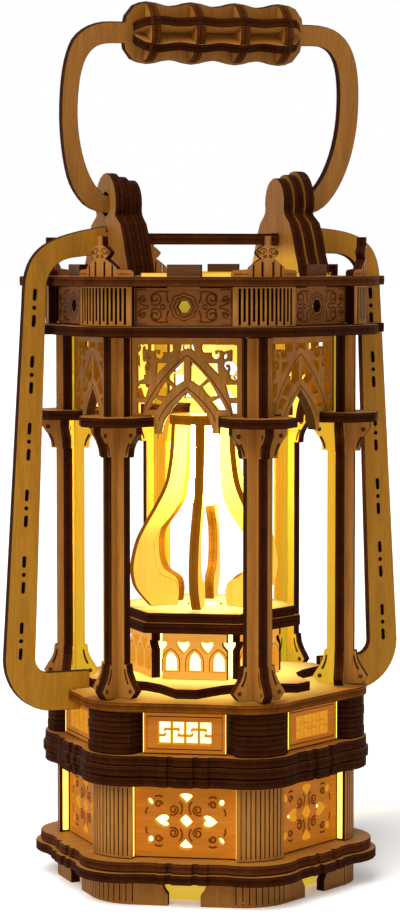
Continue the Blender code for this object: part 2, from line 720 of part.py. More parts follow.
def columns(finish):
    """Two sheets crossed at each corner, with an octagonal plate over the bracketed head."""
    sheet = prism(mirrored(column_profile(0.0)), SHEET)
    octagon = turned(circle((0.0, 0.0), CAPITAL_HALF / math.cos(math.pi / 8), 8), 22.5)
    capital = moved(prism(octagon, SHEET), lifted(CAPITAL_LEVEL))
    across = moved(prism(mirrored(column_profile(TRIM)), SHEET), facing(0, SHEET / 2, 0.0))
    for number, corner in enumerate(CORNERS, 1):
        place = spun(corner, Z_COLUMN) @ Matrix.Translation((COLUMN_RADIUS, 0.0, 0.0))
        add_node(f"column_{number}", moved(sheet, radial(0, 0.0)), finish, place, joins=[[across], [capital]])


def at_share(curve, share):
    """The point at this share of a Bezier curve."""
    weights = ((1 - share) ** 3, 3 * share * (1 - share) ** 2, 3 * share * share * (1 - share), share ** 3)
    return tuple(sum(w * point[i] for w, point in zip(weights, curve)) for i in (0, 1))


def shares_between(start, end, steps):
    return [start + (end - start) * step / steps for step in range(steps + 1)]


def arch_cells():
    """Openings between the inner and the outer arch, divided by short bars and a mullion."""
    cells = []
    for outer_start, outer_end, inner_start, inner_end in ARCH_CELLS:
        far = [at_share(OUTER_ARCH_INSIDE, share) for share in shares_between(outer_start, outer_end, 4)]
        near = [at_share(INNER_ARCH, share) for share in shares_between(inner_end, inner_start, 4)]
        cells += [far + near, [(-x, y) for x, y in reversed(far + near)]]
    return cells


def arch_side(low, high, steps):
    """The outer arch's outer edge between two heights, from below, with its lip of wood."""
    points = [at_share(OUTER_ARCH, share) for share in shares_between(0.0, 1.0, 60)]
    between = [(x + ARCH_LIP, y) for x, y in points if low <= y <= high]
    return [between[round(share * (len(between) - 1))] for share in shares_between(0.0, 1.0, steps)]


def window_holes(half, height):
    """Openings of a window panel: between the arches, in the spandrels and beside the outer arch."""
    side, head = half - WINDOW_MARGIN, height - WINDOW_HEAD
    right = [[(SPANDREL_END, head)] + arch_side(SPANDREL_LOW, 0.0172, 6)[::-1]
             + [(side, SPANDREL_LOW), (side, head)]]
    for low, high in SIDE_OPENINGS:
        right.append(arch_side(low, high, 1) + [(side, high), (side, low)])
    return arch_cells() + right + [[(-x, y) for x, y in reversed(hole)] for hole in right]


def window_half():
    return (COLUMN_RADIUS - SHEET / 2) * math.sin(HALF_CORNER) - SHAFT_HALF * COS - 2 * GAP


def window_outline(half, height):
    """A panel whose inner arch runs down past the capital plates in two legs."""
    inner = [at_share(INNER_ARCH_INSIDE, share) for share in shares_between(0.0, 1.0, ARCH_STEPS)]
    outline = [(-half, 0.0), (-LEG_HALF, 0.0), (-LEG_HALF, -LEG_DROP)]
    outline += [(-x, y) for x, y in inner] + list(reversed(inner[:-1]))
    return outline + [(LEG_HALF, -LEG_DROP), (LEG_HALF, 0.0), (half, 0.0), (half, height), (-half, height)]


def window_panels(finish):
    half = window_half()
    sill = Z_CAPITAL + PLY
    height = Z_CORNICE - sill - GAP
    panel = prism(window_outline(half, height), SHEET, window_holes(half, height))
    for number, face in enumerate(FACES, 1):
        add_node(f"window_panel_{number}", panel, finish, facing(face, WINDOW_APOTHEM, sill))


# Cornice, frieze and crests

def cornice_outline():
    """A rounded hexagon with a prong beside each strap."""
    centre = (CORNICE_APOTHEM - CORNICE_FILLET) / COS
    near, far = -SLOT / 2, -SLOT / 2 - PRONG_WIDTH
    outline = []
    for face in FACES:
        if face in (0, 180):
            root = bezier((far - PRONG_ROOT, CORNICE_APOTHEM), (far, CORNICE_APOTHEM),
                          (far, CORNICE_APOTHEM + PRONG_ROOT), (far, PRONG_REACH), 4)
            outline += on_face(root + [(near, PRONG_REACH), (near, CORNICE_APOTHEM)], face)
        outline += turned(arc((centre, 0.0), CORNICE_FILLET, -30, 30, 8), face + 30)
    return outline


def spoke_holes(inner, outer):
    """Wedge-shaped openings between spokes that run to the corners."""
    holes = []
    for face in FACES:
        wide_in = math.degrees(math.asin(SPOKE_HALF / inner))
        wide_out = math.degrees(math.asin(SPOKE_HALF / outer))
        hole = arc((0.0, 0.0), outer, -30 + wide_out, 30 - wide_out, 3)
        hole += arc((0.0, 0.0), inner, 30 - wide_in, -30 + wide_in, 2)
        holes.append(turned(hole, face))
    return holes


def tenon_slots():
    """Slots in the top plate for the frieze panels' tenons."""
    outer = FRIEZE_APOTHEM - PANEL_RECESS
    half = TENON_WIDTH / 2 + GAP
    inner = outer - SHEET - GAP
    box = [(-half, inner), (-half, outer + GAP), (half, outer + GAP), (half, inner)]
    return [on_face(box, face) for face in FACES]


def cornice(finish):
    """The upper plate carries a stepped crest over each bent corner of the frieze."""
    outline = cornice_outline()
    bottom = prism(outline, SHEET, spoke_holes(HUB_RADIUS, WELL_RADIUS))
    add_node("cornice_bottom", bottom, finish, lifted(Z_CORNICE))
    top = prism(outline, SHEET, [circle((0.0, 0.0), WELL_RADIUS)] + tenon_slots())
    stations = [(-along, SHEET - JOIN, SHEET + high) for along, high in CREST]
    stations += [(along, SHEET - JOIN, SHEET + high) for along, high in reversed(CREST)]
    crest = bent_strip(FRIEZE_APOTHEM, FRIEZE_FILLET, stations)
    crests = [moved(crest, spun(corner)) for corner in CORNERS]
    add_node("cornice_top", top, finish, lifted(Z_TOP), joins=[crests])


def frieze_ring():
    """The outer and inner outline of the frieze: bent corners with flat panels set back between them."""
    flat = (FRIEZE_APOTHEM - FRIEZE_FILLET) * TAN
    outer_face = FRIEZE_APOTHEM - PANEL_RECESS
    inner_face = outer_face - SHEET
    centre = (FRIEZE_APOTHEM - FRIEZE_FILLET) / COS
    inner_radius = FRIEZE_FILLET - SHEET
    lap = math.degrees(JOIN / inner_radius)
    outer, inner = [], []
    for face in FACES:
        outer += on_face([(-flat, outer_face), (flat, outer_face)], face)
        outer += turned(arc((centre, 0.0), FRIEZE_FILLET, -30, 30, 6), face + 30)
        bend = arc((centre, 0.0), inner_radius, -30 + lap, 30 - lap, 6)
        start = turned(bend, 30)[0][1]
        inner += on_face([(-start, inner_face), (start, inner_face)], face) + turned(bend, face + 30)
    return outer, inner


def frieze(finish):
    height = FRIEZE_HEIGHT - GAP
    outer, inner = frieze_ring()
    ring = band(outer, inner, height)
    rise = Z_ROOF - Z_FRIEZE + TENON_RISE
    thickness = SHEET - 2 * TRIM
    tenon = prism(rectangle(-TENON_WIDTH / 2, height - JOIN, TENON_WIDTH / 2, rise), thickness)
    medallion = prism(circle((0.0, height / 2), MEDALLION_RADIUS, 6), 2 * SHEET)
    outer_face = FRIEZE_APOTHEM - PANEL_RECESS
    tenons = [moved(tenon, facing(face, outer_face - TRIM, 0.0, thickness)) for face in FACES]
    medallions = [moved(medallion, facing(face, outer_face + SHEET / 2, 0.0, 2 * SHEET)) for face in FACES]
    add_node("frieze", ring, finish, lifted(Z_FRIEZE), joins=[tenons], cuts=[medallions])


# Ears, spreader and straps

def ear_outline(inset):
    """A flared foot, a neck and a round head about the bail's pivot."""
    foot = TRIM * round(inset / EAR_LAYER_STEP)
    half = [(EAR_BASE_HALF - inset - narrower, max(up, foot)) for up, narrower in EAR_CONTOUR]
    neck = NECK_HALF - inset * 0.5
    drop = PIVOT_HEIGHT - NECK_DROP
    half.append((neck + NECK_EASE, drop - NECK_EASE))
    half.append((neck, drop))
    radius = EAR_HEAD_RADIUS - inset
    first = math.degrees(math.asin(-min(NECK_DROP - NECK_LIP, radius * 0.6) / radius))
    half += arc((0.0, PIVOT_HEIGHT), radius, first, 90, 7)[:-1]
    outline = half + [(0.0, PIVOT_HEIGHT + radius)] + [(-x, y) for x, y in reversed(half)]
    return outline


def ears(finish):
    """Three glued sheets a side: the bail turns in the outer two, and the inner two hold the spreader."""
    levels = []
    for layer in range(EAR_SHEETS):
        outline = ear_outline(EAR_LAYER_STEP * (EAR_SHEETS - 1 - layer))
        top = (layer + 1) * PLY - (GAP if layer == EAR_SHEETS - 1 else 0.0)
        levels += [(outline, layer * PLY), (outline, top)]
    thickness = levels[-1][1]
    eye = moved(prism(circle((0.0, PIVOT_HEIGHT), EYE_RADIUS, 16), thickness), lifted(PLY))
    bar = SPREADER_TENON / 2 + GAP
    bar_slot = prism(rectangle(-bar, SPREADER_LEVEL - GAP, bar, SPREADER_LEVEL + SHEET + GAP), thickness)
    low = STRAP_ARM_TOP - STRAP_ARM_HEIGHT / 2 - STRAP_TENON / 2 - GAP
    strap_slot = prism(rectangle(-SLOT / 2, low, SLOT / 2, low + STRAP_TENON + 2 * GAP), thickness)
    cuts = [[eye], [moved(bar_slot, lifted(-PLY))], [moved(strap_slot, lifted(2 * PLY))]]
    for name, side in (("ear_right", 0), ("ear_left", 180)):
        add_node(name, stack(levels), finish, facing(side, EAR_OUTER_FACE, Z_ROOF, thickness), cuts=cuts)


def spreader(finish):
    inner = EAR_OUTER_FACE - SHEET - 2 * PLY - GAP
    end = EAR_OUTER_FACE - SHEET - GAP - GAP
    wide, thin = SPREADER_WIDTH / 2, SPREADER_TENON / 2
    outline = [(inner, -wide), (inner, -thin), (end, -thin), (end, thin), (inner, thin), (inner, wide)]
    outline += [(-x, -y) for x, y in outline]
    add_node("spreader", prism(outline, SHEET), finish, lifted(Z_ROOF + SPREADER_LEVEL))


def strap_outline():
    """One strap in its own plane: x out from the axis, y up from the ground."""
    top = Z_ROOF + STRAP_ARM_TOP
    under = top - STRAP_ARM_HEIGHT
    low = Z_TIER - STRAP_LOW_EDGE
    shelf = low + STRAP_FOOT_ARM
    outer, inner = STRAP_TOP_OUTER, STRAP_TOP_OUTER - STRAP_TOP_WIDTH
    foot, foot_inner = STRAP_FOOT_OUTER, STRAP_FOOT_OUTER - STRAP_FOOT_WIDTH
    root = EAR_OUTER_FACE + GAP
    tip = EAR_OUTER_FACE - SHEET
    middle = (top + under) / 2
    bend = STRAP_HEAD_BEND
    toe = STRAP_FOOT_BEND
    points = [(foot, low + toe)]
    points += bezier((outer, top - bend * 1.35), (outer, top - bend * 0.3),
                     (outer - bend * 0.5, top - bend * 0.12), (outer - bend * 1.4, top - bend * 0.03), 14)
    points += [(root, top), (root, middle + STRAP_TENON / 2), (tip, middle + STRAP_TENON / 2)]
    points += [(tip, middle - STRAP_TENON / 2), (root, middle - STRAP_TENON / 2), (root, under)]
    inner_bend = bend * 0.62
    points += bezier((inner - inner_bend, under), (inner - inner_bend * 0.4, under),
                     (inner, under - inner_bend * 0.4), (inner, under - inner_bend), 10)
    points += bezier((foot_inner, shelf + STRAP_INNER_BEND), (foot_inner, shelf + STRAP_INNER_BEND * 0.4),
                     (foot_inner - STRAP_INNER_BEND * 0.6, shelf), (foot_inner - STRAP_INNER_BEND, shelf), 6)
    end, lap = strap_foot_end(), strap_lap()
    points += [(end, shelf), (end, Z_COLUMN), (lap, Z_COLUMN), (lap, Z_TIER - GAP)]
    points += [(end, Z_TIER - GAP), (end, low)]
    return points + bezier((foot - toe, low), (foot - toe * 0.45, low), (foot, low + toe * 0.45),
                           (foot, low + toe), 12)[:-1]


def straps(finish):
    strap = prism(strap_outline(), SHEET)
    add_node("strap_right", strap, finish, radial(0, 0.0))
    add_node("strap_left", strap, finish, radial(180, 0.0))


# Bail and grip, in their own frame with the pivot as origin

def wave_half(along):
    """Half width of the grip at this distance from its middle, widest at the rings."""
    phase = (along / GRIP_PITCH - (GRIP_RINGS % 2 == 0) * 0.5) * 2 * math.pi
    return GRIP_RADIUS - GRIP_VALLEY * (1 - math.cos(phase)) / 2


def grip_edge():
    """The wavy upper edge of the grip from its right end to its left, rounded off at both."""
    half = GRIP_LENGTH / 2
    points = []
    steps = 24
    for step in range(steps + 1):
        along = half - GRIP_LENGTH * step / steps
        rounding = min(1.0, max(0.0, half - abs(along)) / GRIP_END_RADIUS)
        points.append((along, wave_half(along) * (0.62 + 0.38 * math.sqrt(rounding * (2 - rounding)))))
    return points


def bail_outline():
    """The bail's bar from one ear to the other, widened to the grip's wavy plate at the top."""
    end = (EAR_OUTER_FACE - 2 * PLY + GAP, 0.0)
    ear = (EAR_OUTER_FACE + GAP, 0.0)
    waist = (BAIL_HALF, BAIL_WAIST)
    shoulder = (BAIL_SHOULDER, BAIL_HEIGHT)
    line = bezier(ear, (BAIL_HALF - BAIL_LOW_DRAW, BAIL_RISE), (BAIL_HALF, BAIL_WAIST / 2), waist, BEND_STEPS)
    line += bezier(waist, (BAIL_HALF, BAIL_WAIST + BAIL_HIGH_BEND), (BAIL_HALF - BAIL_HIGH_DRAW, BAIL_HEIGHT),
                   shoulder, BEND_STEPS)[1:]
    outer, inner = [], []
    for index, (x, y) in enumerate(line):
        before, after = line[max(index - 1, 0)], line[min(index + 1, len(line) - 1)]
        run, rise = after[0] - before[0], after[1] - before[1]
        length = math.hypot(run, rise)
        grow = min(1.0, index / 3)
        half = (BAIL_END_WIDTH + (BAIL_WIDTH - BAIL_END_WIDTH) * grow) / 2
        outer.append((x + rise / length * half, y - run / length * half))
        inner.append((x - rise / length * half, y + run / length * half))
    thin = BAIL_END_WIDTH / 2
    half_bar = BAIL_WIDTH / 2
    join = GRIP_LENGTH / 2
    top = [(x, BAIL_HEIGHT + y) for x, y in grip_edge()]
    bottom = [(x, BAIL_HEIGHT - y) for x, y in grip_edge()]
    right_out = [(end[0], -thin)] + outer
    right_in = inner + [(join + GAP, BAIL_HEIGHT - half_bar)]
    points = right_out + [(join + GAP, BAIL_HEIGHT + half_bar)] + top
    points += [(-join - GAP, BAIL_HEIGHT + half_bar)] + [(-x, y) for x, y in reversed(right_out)]
    points += [(-end[0], thin)] + [(-x, y) for x, y in right_in]
    points += list(reversed(bottom)) + list(reversed(right_in)) + [(end[0], thin)]
    return points


def grip_ring_places():
    return [(index - (GRIP_RINGS - 1) / 2) * GRIP_PITCH for index in range(GRIP_RINGS)]


def grip_rib():
    """A wavy half rib that lies against the bail's plate, in its own plane with the bail at y = 0."""
    near = SHEET / 2 + GAP
    half = GRIP_LENGTH / 2
    return prism([(-half, near), (half, near)] + grip_edge(), SHEET)


def grip_half_ring():
    """Half a disc across the grip, x out from the bail's plate and y up."""
    near = SHEET / 2 + 2 * GAP
    spread = math.degrees(math.acos(near / (GRIP_RADIUS - GAP)))
    return prism(arc((0.0, 0.0), GRIP_RADIUS - GAP, -spread, spread, 8), SHEET)


def grip(finish, place):
    """Each side of the bail's plate has two wavy ribs crossed by half rings."""
    for name, side in (("grip_back", 0), ("grip_front", 180)):
        ribs = []
        for level in (-GRIP_RIB_LEVEL, GRIP_RIB_LEVEL):
            ribs.append(moved(grip_rib(), lifted(BAIL_HEIGHT + level - SHEET / 2) @ spun(side)))
        rings = []
        for along in grip_ring_places():
            stand = Matrix.Translation((along, 0.0, BAIL_HEIGHT)) @ spun(side) @ radial(90, 0.0)
            rings.append(moved(grip_half_ring(), stand))
        add_node(name, ribs[0], finish, place, joins=[rings, [ribs[1]]])


def bail(finish):
    place = lifted(Z_PIVOT) @ Matrix.Rotation(BAIL_LEAN, 4, "X")
    add_node("bail", prism(bail_outline(), SHEET), finish, place @ radial(0, 0.0))
    grip(finish, place)


# Battery box, cell, door and switch

def battery_box(plastic):
    """A lid-down tray: a top and four walls in one ring, open towards the door."""
    half_x, half_y = BOX_LENGTH / 2, BOX_WIDTH / 2
    inner_x, inner_y = half_x - BOX_WALL, half_y - BOX_WALL
    top = BOX_HEIGHT - BOX_WALL
    outer_loop = rectangle(-half_x, -half_y, half_x, half_y)
    inner_loop = rectangle(-inner_x, -inner_y, inner_x, inner_y)
    vertices = [(x, y, 0.0) for x, y in outer_loop] + [(x, y, BOX_HEIGHT) for x, y in outer_loop]
    vertices += [(x, y, 0.0) for x, y in inner_loop] + [(x, y, top) for x, y in inner_loop]
    faces = [(4, 5, 6, 7), (15, 14, 13, 12)]
    for index in range(4):
        following = (index + 1) % 4
        faces.append((index, following, following + 4, index + 4))
        faces.append((following + 8, index + 8, index + 12, following + 12))
        faces.append((following, index, index + 8, following + 8))
    add_node("battery_box", (vertices, faces), plastic, lifted(Z_LOWER + PLY))


def battery_cell(metal):
    """One flat rechargeable cell along the box."""
    start = -BOX_LENGTH / 2 + BOX_WALL + GAP
    outline = rectangle(start, -CELL_WIDTH / 2, BOX_LENGTH / 2 - BOX_WALL - CELL_FREE, CELL_WIDTH / 2)
    top = BOX_HEIGHT - BOX_WALL - GAP
    add_node("battery_cell", prism(outline, CELL_HEIGHT), metal, lifted(Z_LOWER + PLY + top - CELL_HEIGHT))


def switch_place():
    return BOX_LENGTH / 2 - SWITCH_INSET


def battery_door(plastic):
    """The door fills the window under the box, with a slot for the switch."""
    slack = BOX_LEDGE
    half_x, half_y = BOX_LENGTH / 2 - slack, BOX_WIDTH / 2 - slack
    slot_half = SWITCH_WIDTH / 2 + GAP
    start = switch_place() - SWITCH_LENGTH / 2 - GAP
    slot = rectangle(start, -slot_half, start + SWITCH_LENGTH + SWITCH_TRAVEL + 2 * GAP, slot_half)
    door = prism(rectangle(-half_x, -half_y, half_x, half_y), SHEET, [slot])
    add_node("battery_door", door, plastic, lifted(Z_LOWER))


def power_switch(plastic):
    """A sliding knob: a stem through the door's slot and a flange inside the box."""
    half, wide = SWITCH_LENGTH / 2, SWITCH_WIDTH / 2
    flange_half = half + SWITCH_LIP
    low = -SWITCH_DROP
    high = SHEET + GAP
    top = high + SWITCH_FLANGE
    profile = [(-half, low), (half, low), (half, high), (flange_half, high), (flange_half, top),
               (-flange_half, top), (-flange_half, high), (-half, high)]
    knob = moved(prism(profile, 2 * wide), Matrix.Translation((0.0, wide - SHEET / 2, 0.0)) @ radial(0, 0.0))
    add_node("power_switch", knob, plastic, Matrix.Translation((switch_place(), 0.0, Z_LOWER)))


def main():
    clear_scene()
    wood = material("plywood", WOOD, 0.65)
    dark = material("burnt_plywood", DARK_WOOD, 0.7)
    plastic = material("black_plastic", PLASTIC, 0.45)
    glass = material("frosted_tube", FROSTED, 0.3)
    metal = material("cell_jacket", CELL_METAL, 0.35, 0.8)
    plinth(wood)
    lower_moulding(dark)
    drum(wood)
    mid_moulding(dark)
    corner_blocks(dark)
    key_panels(wood)
    tier_plate(dark)
    star_plate(dark)
    lamp_stand(wood)
    chimney(wood)
    lamp(glass, plastic)
    columns(wood)
    window_panels(wood)
    cornice(dark)
    frieze(wood)
    ears(wood)
    spreader(dark)
    straps(wood)
    bail(wood)
    battery_box(plastic)
    battery_cell(metal)
    battery_door(plastic)
    power_switch(plastic)


main()
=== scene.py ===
"""The look of the wooden lantern: every plywood piece rebuilt with its faces, burnt edges and fretwork."""
import math

import bpy
from mathutils import Matrix, Vector
from mathutils.geometry import tessellate_polygon


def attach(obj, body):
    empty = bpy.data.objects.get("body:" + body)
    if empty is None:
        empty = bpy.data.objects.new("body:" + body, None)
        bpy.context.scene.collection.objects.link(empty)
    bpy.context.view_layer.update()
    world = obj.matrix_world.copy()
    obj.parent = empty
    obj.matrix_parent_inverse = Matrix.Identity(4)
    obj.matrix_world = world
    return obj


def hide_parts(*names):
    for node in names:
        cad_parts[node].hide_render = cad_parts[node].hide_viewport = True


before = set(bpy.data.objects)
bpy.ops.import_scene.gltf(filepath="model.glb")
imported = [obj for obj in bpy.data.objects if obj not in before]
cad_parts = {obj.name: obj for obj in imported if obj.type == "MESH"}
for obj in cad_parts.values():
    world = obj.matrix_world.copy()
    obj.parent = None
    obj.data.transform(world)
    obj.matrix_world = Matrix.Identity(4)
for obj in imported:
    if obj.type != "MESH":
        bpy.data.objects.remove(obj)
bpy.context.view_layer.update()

# Sheet and fits
SHEET = 0.0027              # thickness of the plywood
GAP = 0.0003                # clearance between neighbouring pieces
PLY = SHEET + GAP           # pitch of stacked sheets
SLOT = SHEET + 2 * GAP      # width of a slot that takes a sheet
JOIN = 0.0010               # how far glued pieces of one body run into each other
TRIM = 0.00005              # keeps two glued pieces from ending in the same plane


def tenths(*values):
    """Points from their x and y in turn, in tenths of a millimetre."""
    return [(x / 10000, y / 10000) for x, y in zip(values[::2], values[1::2])]


FACES = range(0, 360, 60)
CORNERS = range(30, 390, 60)
HALF_CORNER = math.radians(30)
TAN = math.tan(HALF_CORNER)
COS = math.cos(HALF_CORNER)

# Heights of the stack, from the ground up
PLINTH_HEIGHT = 0.0072
LOWER_SHEETS = 2
DRUM_HEIGHT = 0.0209
MID_SHEETS = 3
BLOCK_SHEETS = 4
COLUMN_HEIGHT = 0.1018
WINDOW_RISE = 0.0252        # from the capital plate's underside to the cornice
CAPITAL_LEVEL = COLUMN_HEIGHT - WINDOW_RISE
FRIEZE_HEIGHT = 0.0109
LAMP_DRUM_HEIGHT = 0.0138
LAMP_SHEETS = 2
RIB_HEIGHT = 0.0526
PIVOT_HEIGHT = 0.0203       # bail's pivot above the roof

Z_LOWER = PLINTH_HEIGHT
Z_DRUM = Z_LOWER + LOWER_SHEETS * PLY
Z_MID = Z_DRUM + DRUM_HEIGHT
Z_BLOCK = Z_MID + MID_SHEETS * PLY
Z_TIER = Z_BLOCK + BLOCK_SHEETS * PLY
Z_COLUMN = Z_TIER + PLY
Z_LAMP_DRUM = Z_COLUMN + PLY
Z_LAMP = Z_LAMP_DRUM + LAMP_DRUM_HEIGHT
Z_RIB = Z_LAMP + LAMP_SHEETS * PLY
Z_COLLAR = Z_RIB + RIB_HEIGHT
Z_CAPITAL = Z_COLUMN + CAPITAL_LEVEL
Z_CORNICE = Z_COLUMN + COLUMN_HEIGHT
Z_FRIEZE = Z_CORNICE + PLY
Z_TOP = Z_FRIEZE + FRIEZE_HEIGHT
Z_ROOF = Z_TOP + PLY
Z_PIVOT = Z_ROOF + PIVOT_HEIGHT

# Drum and plinth: a hexagon with well-rounded corners, each corner a bent strip
DRUM_APOTHEM = 0.0401
DRUM_FILLET = 0.0152
PANEL_RECESS = 0.0030       # the flat panels stand this far behind the strips
PLINTH_OPENING_TOP = 0.0140
PLINTH_OPENING_BOTTOM = 0.0093

# Mouldings: round lobes at the corners and a stepped wave at the middle of each face
LOBE_RADIUS = 0.0146
LOWER_REACH = 0.0505
LOWER_SETBACK = 0.0015      # the second sheet of the lower moulding stands back
MID_REACH = 0.0476
MID_BULGE = 0.0006          # the middle sheet stands proud
WAIST_LEAN = math.radians(21)   # where a moulding's lobe ends, short of the face's own direction
WAVE = tenths(74, 7, 46, 0, 31, 11)   # half width and step of each wave
MID_HOLE_RADIUS = 0.0220

# Tier above the drum: corner blocks with meander panels between them
BLOCK_REACH = 0.0470
BLOCK_WIDTH = 0.0156
BLOCK_BULGE = 0.0035
BLOCK_DEPTH = 0.0150
BLOCK_STEP = 0.0005
KEY_APOTHEM = 0.0390
KEY_COUNT = 4
TIER_REACH = 0.0476
TIER_LEAN = math.radians(13)
TIER_HOLE_RADIUS = 0.0115

# Star plate, lamp drum and lamp plates
STAR_REACH = 0.0360
STAR_TIP = 0.0060
STAR_VALLEY = 0.0270
STAR_FLARE = 0.0012         # how far out the valley has come at its half width
STAR_VALLEY_HALF = 0.0060
LAMP_DRUM_APOTHEM = 0.0202
LAMP_LOWER_REACH = 0.0281
LAMP_UPPER_REACH = 0.0266
LAMP_HOLE_RADIUS = 0.0050
LAMP_ARCHES = 3
LAMP_ARCH_HEIGHT = 0.0056
LAMP_ARCH_SILL = 0.0023
LAMP_ARCH_PITCH = 0.0069
LAMP_ARCH_HALF = 0.0018
LAMP_ARCH_RIM = 0.0008      # from an arch's side to the line engraved round it

# Chimney ribs: outer and inner contours as height above the foot and distance from the axis
RIB_OUTER = tenths(0, 172, 47, 213, 82, 226, 125, 228, 190, 212, 242, 184, 293, 152, 356, 120, 436, 105,
                   526, 99)
RIB_INNER = tenths(526, 58, 436, 62, 322, 76, 267, 105, 210, 153, 150, 162, 96, 145, 72, 100, 45, 86, 0, 90)
COLLAR_RADIUS = 0.0103
TUBE_RADIUS = 0.0040
TUBE_LENGTH = 0.0265
ROUND_STEPS = 20

# Columns: two sheets crossed at each corner, with brackets at the head and the foot
COLUMN_RADIUS = 0.0400
SHAFT_HALF = 0.00395
HEAD_HALF = 0.0084
HEAD_STEP_HALF = 0.0054
HEAD_HEIGHT = 0.0096
HEAD_BAND = 0.0030
FOOT_HALF = 0.0080
FOOT_TOE_HALF = 0.0062
FOOT_STEP_HALF = 0.0047
FOOT_HEIGHT = 0.0098
FOOT_TOE_HEIGHT = 0.0022
FOOT_BEND_LOW = 0.0045      # heights between which the foot's bracket sweeps in
FOOT_BEND_HIGH = 0.0060
HEAD_BEND_LOW = 0.0060      # the same below the head's top
HEAD_BEND_HIGH = 0.0050
BRACKET_SWEEP = 0.0012
CAPITAL_HALF = 0.0102

# Window panels above the columns' heads
WINDOW_APOTHEM = 0.0346
WINDOW_MARGIN = 0.0015      # frame at the panel's two sides
WINDOW_HEAD = 0.0020        # frame at its top
LEG_DROP = 0.0050
LEG_HALF = 0.0092
LEG_WIDTH = 0.0021
# Right halves of the two arches from the foot to the apex: both edges of each, as Bezier points
OUTER_ARCH = tenths(138, 0, 121, 62, 50, 148, 0, 183)
OUTER_ARCH_INSIDE = tenths(116, 0, 101, 52, 42, 126, 0, 157)
INNER_ARCH = ((LEG_HALF, 0.0), (0.0090, 0.0024), (0.0048, 0.0062), (0.0, 0.0092))
INNER_ARCH_INSIDE = ((LEG_HALF - LEG_WIDTH, -LEG_DROP), (0.0072, -0.0012), (0.0036, 0.0032), (0.0, 0.0066))
ARCH_CELL = (0.10, 0.30, 0.20, 0.45)    # their lowest opening, as shares of the outer and of the inner arch
ARCH_STEPS = 10

# Cornice plates, frieze and crests
CORNICE_APOTHEM = 0.0465
CORNICE_FILLET = 0.0207
SPOKE_HALF = 0.0030
HUB_RADIUS = 0.0090
WELL_RADIUS = 0.0205
PRONG_REACH = 0.0542
PRONG_WIDTH = 0.0055
PRONG_ROOT = 0.0025
FRIEZE_APOTHEM = 0.0432
FRIEZE_FILLET = 0.0188
MEDALLION_RADIUS = 0.0019
TENON_WIDTH = 0.0095
TENON_RISE = 0.0031         # of the frieze panels' tenons above the roof

# Ears that carry the bail, and the spreader between them
EAR_SHEETS = 3
EAR_OUTER_FACE = 0.0306
EAR_BASE_HALF = 0.0190
EAR_HEAD_RADIUS = 0.0088
EAR_LAYER_STEP = 0.0010
EAR_CONTOUR = tenths(0, 0, 30, 8, 60, 24, 110, 44, 145, 66)
NECK_HALF = 0.0080
NECK_DROP = 0.0031
NECK_EASE = 0.0006          # chamfer below the neck
NECK_LIP = 0.0012           # from the neck up to where the round head starts
EYE_RADIUS = 0.0034
SPREADER_LEVEL = 0.0090
SPREADER_WIDTH = 0.0080
SPREADER_TENON = 0.0050

# Straps down the two sides
STRAP_TOP_OUTER = 0.0556
STRAP_TOP_WIDTH = 0.0066
STRAP_FOOT_OUTER = 0.0617
STRAP_FOOT_WIDTH = 0.0090
STRAP_ARM_TOP = 0.0140      # upper edge of the strap's head above the roof
STRAP_ARM_HEIGHT = 0.0078
STRAP_HEAD_BEND = 0.0130
STRAP_FOOT_BEND = 0.0140
STRAP_INNER_BEND = 0.0040
STRAP_LOW_EDGE = 0.0018     # lower edge of the foot below the tier plate
STRAP_FOOT_ARM = 0.0098
STRAP_TENON = 0.0044

# Bail and its grip
BAIL_LEAN = math.radians(8.5)
BAIL_HALF = 0.0435
BAIL_WAIST = 0.0280
BAIL_HEIGHT = 0.0493
BAIL_SHOULDER = 0.0310
BAIL_WIDTH = 0.0060
BAIL_RISE = 0.0005          # shape of the bar just outside the ear and below the grip
BAIL_LOW_DRAW = 0.0055
BAIL_HIGH_DRAW = 0.0030
BAIL_HIGH_BEND = 0.0140
BAIL_END_WIDTH = 0.0050
GRIP_LENGTH = 0.0540
GRIP_END_RADIUS = 0.0040
GRIP_RADIUS = 0.0088
GRIP_VALLEY = 0.0012
GRIP_RINGS = 4
GRIP_PITCH = 0.0135
BEND_STEPS = 14

# Battery box, whose size the openings of the lowest sheets follow
BOX_LENGTH = 0.0600
BOX_WIDTH = 0.0300
BOX_LEDGE = 0.0020


# Outlines and places, as the solid model has them

def arc(centre, radius, start, end, steps):
    """Points on an arc, both ends included, with its angles in degrees."""
    points = []
    for step in range(steps + 1):
        angle = math.radians(start + (end - start) * step / steps)
        points.append((centre[0] + radius * math.cos(angle), centre[1] + radius * math.sin(angle)))
    return points


def circle(centre, radius, steps=ROUND_STEPS):
    return arc(centre, radius, 0, 360, steps)[:-1]


def rectangle(x0, y0, x1, y1):
    return [(x0, y0), (x1, y0), (x1, y1), (x0, y1)]


def mirrored(half):
    """A closed outline from its right half, which runs upwards at x > 0."""
    return half + flipped(half)


def turned(points, degrees):
    cosine, sine = math.cos(math.radians(degrees)), math.sin(math.radians(degrees))
    return [(x * cosine - y * sine, x * sine + y * cosine) for x, y in points]


def on_face(points, degrees):
    """Points given as (along the face, out from the axis), turned to the face that looks along degrees."""
    return turned([(out, along) for along, out in points], degrees)


def at_share(curve, share):
    """The point at this share of a Bezier curve."""
    weights = ((1 - share) ** 3, 3 * share * (1 - share) ** 2, 3 * share * share * (1 - share), share ** 3)
    return tuple(sum(w * point[i] for w, point in zip(weights, curve)) for i in (0, 1))


def bezier(start, first, second, end, steps):
    return [at_share((start, first, second, end), step / steps) for step in range(steps + 1)]


def flipped(line):
    """The mirror image in the upright axis, run the other way."""
    return [(-x, y) for x, y in reversed(line)]


def eased(share):
    """A share from 0 to 1 that starts and ends gently."""
    share = max(0.0, min(1.0, share))
    return share * share * (3 - 2 * share)


